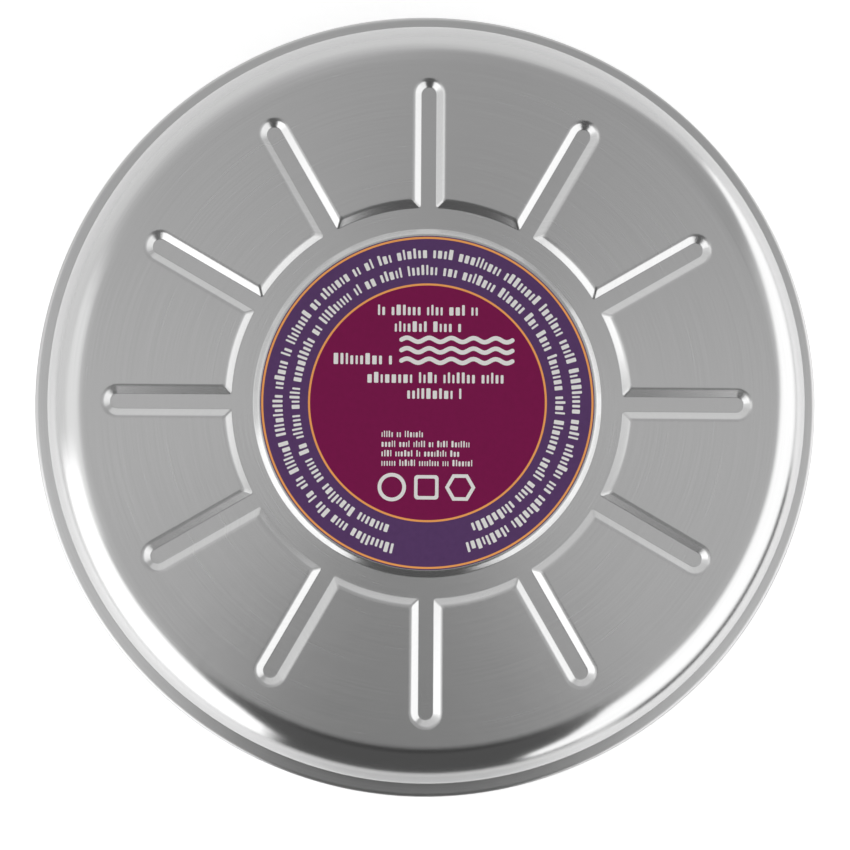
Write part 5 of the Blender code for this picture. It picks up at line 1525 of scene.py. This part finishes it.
cap_low, cap_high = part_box("thermostat_cap")
rim = (cap_high.x - cap_low.x) / 2
inside = CUP_RADIUS - CAP_WALL
cap_section = soften([(0, cap_high.z), (CUP_RADIUS, cap_high.z, CAP_BEND),
                      (CUP_RADIUS, cap_low.z + CAP_WALL, CAP_WALL / 4), (rim, cap_low.z + CAP_WALL, CAP_WALL / 4),
                      (rim, cap_low.z, CAP_WALL / 4), (inside, cap_low.z, CAP_WALL / 4),
                      (inside, cap_high.z - CAP_WALL, CAP_WALL / 4), (0, cap_high.z - CAP_WALL)], steps=4)
turned_solid("thermostat_cup", cap_section, cap_aluminium, "thermostat_cap", THERMOSTAT)
low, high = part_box("thermostat_bracket")
middle_x = THERMOSTAT[0]
cloud = circle(rim, 96, THERMOSTAT)
for place in EAR_PLACES:
    cloud += circle(BRACKET_EAR, 48, place)
outline = [cloud[i] for i in convex_hull_2d(cloud)]
bracket_holes = [circle(CUP_RADIUS + HOLE_GAP, 64, THERMOSTAT)]
bracket_holes += [circle(EAR_HOLE, 32, place) for place in EAR_PLACES]
bracket_shape = slab(outline, low.z, high.z, bracket_holes)
edged_solid("eared_bracket", bracket_shape, plated_steel, "thermostat_bracket", SHEARED_EDGE)

low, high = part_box("bimetal_disc")
disc_radius = (high.x - low.x) / 2
dish = [(disc_radius * step / 10, DISC_THICKNESS * (1 - (step / 10) ** 2)) for step in range(11)]
disc_section = [(radius, low.z + rise) for radius, rise in dish]
disc_section += [(radius, low.z + rise + DISC_THICKNESS) for radius, rise in reversed(dish)]
turned_solid("snap_disc", disc_section, bimetal, "bimetal_disc", THERMOSTAT)

low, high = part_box("pin_guide")
guide = (high.x - low.x) / 2
step_height = high.z - GUIDE_STEP
guide_section = rounded_outline([(PIN_BORE, low.z), (guide, low.z), (guide, high.z), (guide - GUIDE_RIM, high.z),
                                 (guide - GUIDE_RIM, step_height), (PIN_BORE, step_height)], GUIDE_EDGE)
turned_solid("ceramic_guide", guide_section, white_ceramic, "pin_guide", THERMOSTAT)

low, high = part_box("push_pin")
pin = (high.x - low.x) / 2
pin_section = soften([(0, low.z), (pin * 0.6, low.z, 0.0002), (pin, low.z + 0.0008, 0.0002), (pin, high.z, 0.0002),
                      (0, high.z)], steps=4)
pin_piece = make_piece("ceramic_pin", turned(pin_section, 32, THERMOSTAT), white_ceramic)
smooth(pin_piece)
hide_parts("push_pin")
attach(pin_piece, "thermostat_pin")

low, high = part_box("thermostat_base")
base = (high.x - low.x) / 2
base_inside = low.z + BASE_FLOOR
base_section = rounded_outline([(0, low.z), (base, low.z), (base, high.z), (base - BASE_WALL, high.z),
                                (base - BASE_WALL, base_inside), (0, base_inside)], TURNED_EDGE)[5:-5]
base_section = [(0, low.z), *base_section, (0, base_inside)]
base_cup = make_piece("thermostat_housing", turned(base_section, 64, THERMOSTAT), black_moulding)
for side in (-1, 1):
    near_x = middle_x + side * TERMINAL_ASIDE
    half = BLADE_HALF.x + SLOT_GAP
    slot = rectangle(near_x - half, -BLADE_HALF.y, near_x + half, BLADE_HALF.y)
    carve(base_cup, slab(slot, low.z - OVERRUN, base_inside + OVERRUN))
smooth(base_cup)
dress(base_cup, ["thermostat_base"])
for node in ("contact_arm", "arm_terminal", "contact_terminal"):
    finish_solid(node, contact_brass, edge=SHEARED_EDGE / 2)
for number, place in enumerate(EAR_PLACES, 1):
    low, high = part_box(f"thermostat_screw_{number}")
    head = (high.x - low.x) / 2
    shoulder = cap_low.z + CAP_WALL
    section = soften([(0, low.z), (head * CROWN_SHARE, low.z, SCREW_HEAD_EDGE),
                      (head, shoulder - SCREW_HEAD_SIDE, SCREW_HEAD_EDGE / 2), (head, shoulder, HEAD_EDGE),
                      (EAR_SCREW_STEM, shoulder)], steps=4)[1:]
    section += threads(EAR_SCREW_STEM, shoulder + THREAD_PITCH, high.z - THREAD_PITCH / 2)
    section.append((EAR_SCREW_STEM - THREAD_DEPTH, high.z))
    screw = make_piece(f"ear_screw_{number}", crossed_screw(section, place, *EAR_CROSS), plated_steel)
    smooth(screw)
    dress(screw, [f"thermostat_screw_{number}"])


# The thermal fuse is a small metal can with a wire at each end, held to the plate by a bent steel strap
# and one brass rivet.
CAN_LIGHT = (0.70, 0.62, 0.44)
CAN_DARK = (0.58, 0.50, 0.34)
fuse_can = worked_metal("fuse_can", CAN_LIGHT, CAN_DARK, BRASS_SPECK, (0.22, 0.36), line_width=0.0003)[0]
FUSE_RADIUS = 0.002
FUSE_HALF = 0.0055
FUSE_WIRE = 0.0005
SEAL = 0.0004
CRIMP = 0.00015
CLIP_THICKNESS = 0.0006
CLIP_FOOT = 0.0065
RIVET_LIFT = 0.0007
RIVET_SIDE = 0.0003
RIVET_CROWN = 0.0004
fuse_low, fuse_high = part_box("thermal_fuse")
fuse_middle = (fuse_low + fuse_high) / 2
fuse_reach = (fuse_high.x - fuse_low.x) / 2
can = [(0, -fuse_reach), (FUSE_WIRE, -fuse_reach, 0.0001), (FUSE_WIRE, -FUSE_HALF - SEAL, 0.0001),
       (2 * FUSE_WIRE, -FUSE_HALF, 0.0001), (FUSE_RADIUS, -FUSE_HALF, 0.0003)]
for at in (-0.6, 0.6):
    middle = at * FUSE_HALF
    can += [(FUSE_RADIUS, middle - 3 * CRIMP, CRIMP), (FUSE_RADIUS - CRIMP, middle - CRIMP, CRIMP),
            (FUSE_RADIUS - CRIMP, middle + CRIMP, CRIMP), (FUSE_RADIUS, middle + 3 * CRIMP, CRIMP)]
can += [(FUSE_RADIUS, FUSE_HALF, 0.0003), (2 * FUSE_WIRE, FUSE_HALF, 0.0001),
        (FUSE_WIRE, FUSE_HALF + SEAL, 0.0001), (FUSE_WIRE, fuse_reach, 0.0001), (0, fuse_reach)]
fuse_shape = turned(soften(can, steps=3), 40)
lying = Matrix.Translation(fuse_middle) @ Matrix.Rotation(math.pi / 2, 4, "Y")
bmesh.ops.transform(fuse_shape, matrix=lying, verts=fuse_shape.verts)
fuse_piece = make_piece("fuse_can_and_wires", fuse_shape, fuse_can)
smooth(fuse_piece)
dress(fuse_piece, ["thermal_fuse"])

clip_low, clip_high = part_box("fuse_clip")
inner = FUSE_RADIUS + HOLE_GAP
outer = inner + CLIP_THICKNESS
clip_top = clip_high.z - fuse_middle.z
strap = [Vector((-inner, clip_top))]
strap += [Vector(polar(inner, math.pi + math.pi * step / 32)) for step in range(33)]
clip_under, clip_end = clip_top - CLIP_THICKNESS, outer + CLIP_FOOT
strap += soften([(inner, 0), (inner, clip_top, 0.0001), (clip_end, clip_top, 0.0001),
                 (clip_end, clip_under, 0.0001), (outer, clip_under, 0.0003), (outer, 0)], steps=4)[1:-1]
strap += [Vector(polar(outer, -math.pi * step / 32)) for step in range(33)]
strap.append(Vector((-outer, clip_top)))
clip_shape = slab(strap, clip_low.x, clip_high.x)
for corner in clip_shape.verts:
    corner.co = (corner.co.z, fuse_middle.y + corner.co.x, fuse_middle.z + corner.co.y)
bmesh.ops.recalc_face_normals(clip_shape, faces=clip_shape.faces)
clip = make_piece("fuse_strap", clip_shape, plated_steel)
rivet_hole = circle(RIVET_STEM + HOLE_GAP, 32, RIVET_PLACE)
carve(clip, slab(rivet_hole, clip_high.z - 2 * CLIP_THICKNESS, clip_high.z + OVERRUN))
smooth(clip)
dress(clip, ["fuse_clip"])
rivet_low, rivet_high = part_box("clip_rivet")
rivet_head = (rivet_high.x - rivet_low.x) / 2
rivet_shoulder = clip_high.z - RIVET_LIFT
rivet_section = soften([(0, rivet_low.z), (rivet_head * CROWN_SHARE, rivet_low.z, RIVET_CROWN),
                        (rivet_head, rivet_shoulder - RIVET_SIDE, HEAD_EDGE / 2), (rivet_head, rivet_shoulder)],
                       steps=4)
rivet_section += [(RIVET_STEM, rivet_shoulder), (RIVET_STEM, rivet_high.z), (0, rivet_high.z)]
turned_solid("strap_rivet", rivet_section, contact_brass, "clip_rivet", RIVET_PLACE, 32)


# The leads inside the drum are stranded wire in woven glass sleeves: brown for line, blue for neutral,
# green with a yellow stripe for earth, and white from the thermostat, the fuse and the lamp. A bent
# plated tab, spot-welded to the rear shell, takes the earth lead.
WHITE_SLEEVE = ((0.78, 0.77, 0.73), (0.64, 0.62, 0.57))
BLUE_SLEEVE = ((0.03, 0.09, 0.34), (0.015, 0.05, 0.22))
BROWN_SLEEVE = ((0.19, 0.08, 0.035), (0.11, 0.045, 0.02))
GREEN_SLEEVE = ((0.10, 0.34, 0.04), (0.06, 0.22, 0.03))
EARTH_YELLOW = (0.78, 0.62, 0.03)
BRAID = 0.0006
LEAD_RADIUS = 0.0011
LAMP_LEAD_RADIUS = 0.0005
LEAD_BEND = 0.38
LEAD_STEPS = 36
INLET_RISE = 0.008
LAMP_LEG = 0.0013
LEG_SIDE = 0.002
EARTH_TAB_ANGLE = math.radians(75)
TAB_FOOT = 0.009
TAB_BEND = 0.0012
TAB_EDGE = 0.0001
EARTH_TAB_CIRCLE = 0.07635


def sleeve_material(name, colours, stripe=None):
    """A woven glass sleeve: crossing strands, a dull weave and a coloured stripe on one side where it has one."""
    look, tree, shader = new_material(f"{name}_finish")
    place = object_place(tree)
    strands = []
    for lean in ((1, 1, 0.6), (1, -1, -0.6)):
        turned_place = add_node(tree, "ShaderNodeMapping")
        turned_place.inputs["Rotation"].default_value = [part * math.radians(45) for part in lean]
        tree.links.new(place, turned_place.inputs["Vector"])
        wave = add_node(tree, "ShaderNodeTexWave")
        tree.links.new(turned_place.outputs[0], wave.inputs["Vector"])
        wave.inputs["Scale"].default_value = 1 / BRAID
        wave.inputs["Distortion"].default_value = 0.6
        strands.append(wave.outputs["Fac"])
    weave = maths(tree, "MAXIMUM", *strands)
    soil = use_group(tree, scuffs, scuff_width=0.0002, scuff_length=0.003, speck_size=0.0012)
    colour = tint(tree, weave, colours[1], colours[0])
    if stripe is not None:
        facing = axes(tree, add_node(tree, "ShaderNodeNewGeometry").outputs["Normal"])["X"]
        colour = tint(tree, smooth_between(tree, facing, 0.25, 0.35), colour, stripe)
    specks = maths(tree, "MULTIPLY", soil.outputs["Specks"], 0.3)
    tint(tree, specks, colour, colours[1], shader.inputs["Base Color"])
    spread(tree, weave, 0.62, 0.48, shader.inputs["Roughness"])
    shader.inputs["Specular IOR Level"].default_value = 0.35
    bump(tree, weave, 0.00006, shader)
    return look


def sleeve_tree():
    """A round sleeve along a line of points."""
    tree, start, end, keys = new_tree("sleeve_on_path", radius="NodeSocketFloat", sides="NodeSocketInt",
                                      material="NodeSocketMaterial")
    line = tree_step(tree, "GeometryNodeMeshToCurve", mesh=start.outputs["Geometry"])
    ring = tree_step(tree, "GeometryNodeCurvePrimitiveCircle", resolution=start.outputs["Sides"],
                     radius=start.outputs["Radius"])
    swept = add_node(tree, "GeometryNodeCurveToMesh")
    swept.inputs["Fill Caps"].default_value = True
    close_tree(tree, start, end, feed(tree, swept, curve=line, profile_curve=ring))
    return tree, keys


def lead(node, look, start, leave, end, arrive, radius=LEAD_RADIUS, rise=0.0, fall=0.0):
    """A sleeved wire that leaves one blade and comes up to another on one smooth bend."""
    leave, arrive = Vector(leave), Vector(arrive)
    ends = (Vector(start) + leave * HOLE_GAP, Vector(end) - arrive * HOLE_GAP)
    first, last = ends[0] + leave * 2 * radius, ends[1] - arrive * 2 * radius
    reach = (last - first).length * LEAD_BEND
    second, third = first + leave * (rise or reach), last - arrive * (fall or reach)
    line = [ends[0]]
    for step in range(LEAD_STEPS + 1):
        t = step / LEAD_STEPS
        s = 1 - t
        line.append(s**3 * first + 3 * s**2 * t * second + 3 * s * t**2 * third + t**3 * last)
    line.append(ends[1])
    shape = bmesh.new()
    corners = [shape.verts.new(point) for point in line]
    for pair in zip(corners, corners[1:]):
        shape.edges.new(pair)
    piece = make_piece(f"{node}_sleeve", shape, look)
    run_tree(piece, sleeve_on_path, sleeve_keys, radius=radius, sides=20, material=look)
    smooth(piece, sharp=50.0)
    dress(piece, [node])


def blade_end(node):
    """The middle of a pin's top end, behind the inlet."""
    low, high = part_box(node)
    return Vector(((low.x + high.x) / 2, (low.y + high.y) / 2, high.z))


sleeve_on_path, sleeve_keys = sleeve_tree()
white_sleeve = sleeve_material("white_sleeve", WHITE_SLEEVE)
blue_sleeve = sleeve_material("blue_sleeve", BLUE_SLEEVE)
UP, DOWN = Vector((0, 0, 1)), Vector((0, 0, -1))
arm_end = Vector((middle_x - TERMINAL_ASIDE, 0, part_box("arm_terminal")[0].z))
contact_end = Vector((middle_x + TERMINAL_ASIDE, 0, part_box("contact_terminal")[0].z))
post_ends = [Vector((*place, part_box("heater_post_1")[0].z)) for place in POST_PLACES]
tab_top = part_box("earth_tab")[1].z
tab_place = polar(EARTH_TAB_CIRCLE, EARTH_TAB_ANGLE)
join = (BLOCK_TOP + blade_end("line_pin").z) / 2
brown_sleeve = sleeve_material("brown_sleeve", BROWN_SLEEVE)
lead("line_lead", brown_sleeve, blade_end("line_pin"), UP, arm_end, UP, rise=INLET_RISE)
lead("thermostat_lead", white_sleeve, contact_end, DOWN, post_ends[1], UP)
lead("fuse_lead", white_sleeve, post_ends[0], DOWN, (fuse_high.x, *fuse_middle.yz), (-1, 0, 0))
lead("neutral_lead", blue_sleeve, (fuse_low.x, *fuse_middle.yz), (-1, 0, 0), blade_end("neutral_pin"), DOWN,
     fall=INLET_RISE)
lead("earth_lead", sleeve_material("green_sleeve", GREEN_SLEEVE, EARTH_YELLOW), blade_end("earth_pin"), UP,
     (*tab_place, tab_top), DOWN, rise=INLET_RISE)
side_y = BLADE_PLACES[0][1] - LEG_SIDE
lead("lamp_neutral_lead", blue_sleeve, (-LAMP_LEG, LENS_PLACE[1], part_high.z), UP,
     (BLADE_PLACES[1][0], side_y, join), (0, 1, 0), LAMP_LEAD_RADIUS)
lead("lamp_line_lead", white_sleeve, (LAMP_LEG, LENS_PLACE[1], lamp_high.z), UP,
     (BLADE_PLACES[0][0], side_y, join), (0, 1, 0), LAMP_LEAD_RADIUS)

half = BLADE_SIZE.y / 2
foot = SHEET + SEAT_GAP
tab_outline = rounded_outline([(-half, foot, TAB_BEND), (TAB_FOOT, foot), (TAB_FOOT, foot + 2 * half),
                               (half, foot + 2 * half, TAB_BEND / 3), (half, tab_top), (-half, tab_top)],
                              TAB_EDGE)
tab_shape = slab(tab_outline, -BLADE_SIZE.x / 2, BLADE_SIZE.x / 2)
upright = Matrix.Translation((*tab_place, 0)) @ Matrix.Rotation(EARTH_TAB_ANGLE, 4, "Z")
upright = upright @ Matrix.Rotation(math.pi / 2, 4, "X")
bmesh.ops.transform(tab_shape, matrix=upright, verts=tab_shape.verts)
edged_solid("earth_blade", tab_shape, plated_steel, "earth_tab", SHEARED_EDGE)
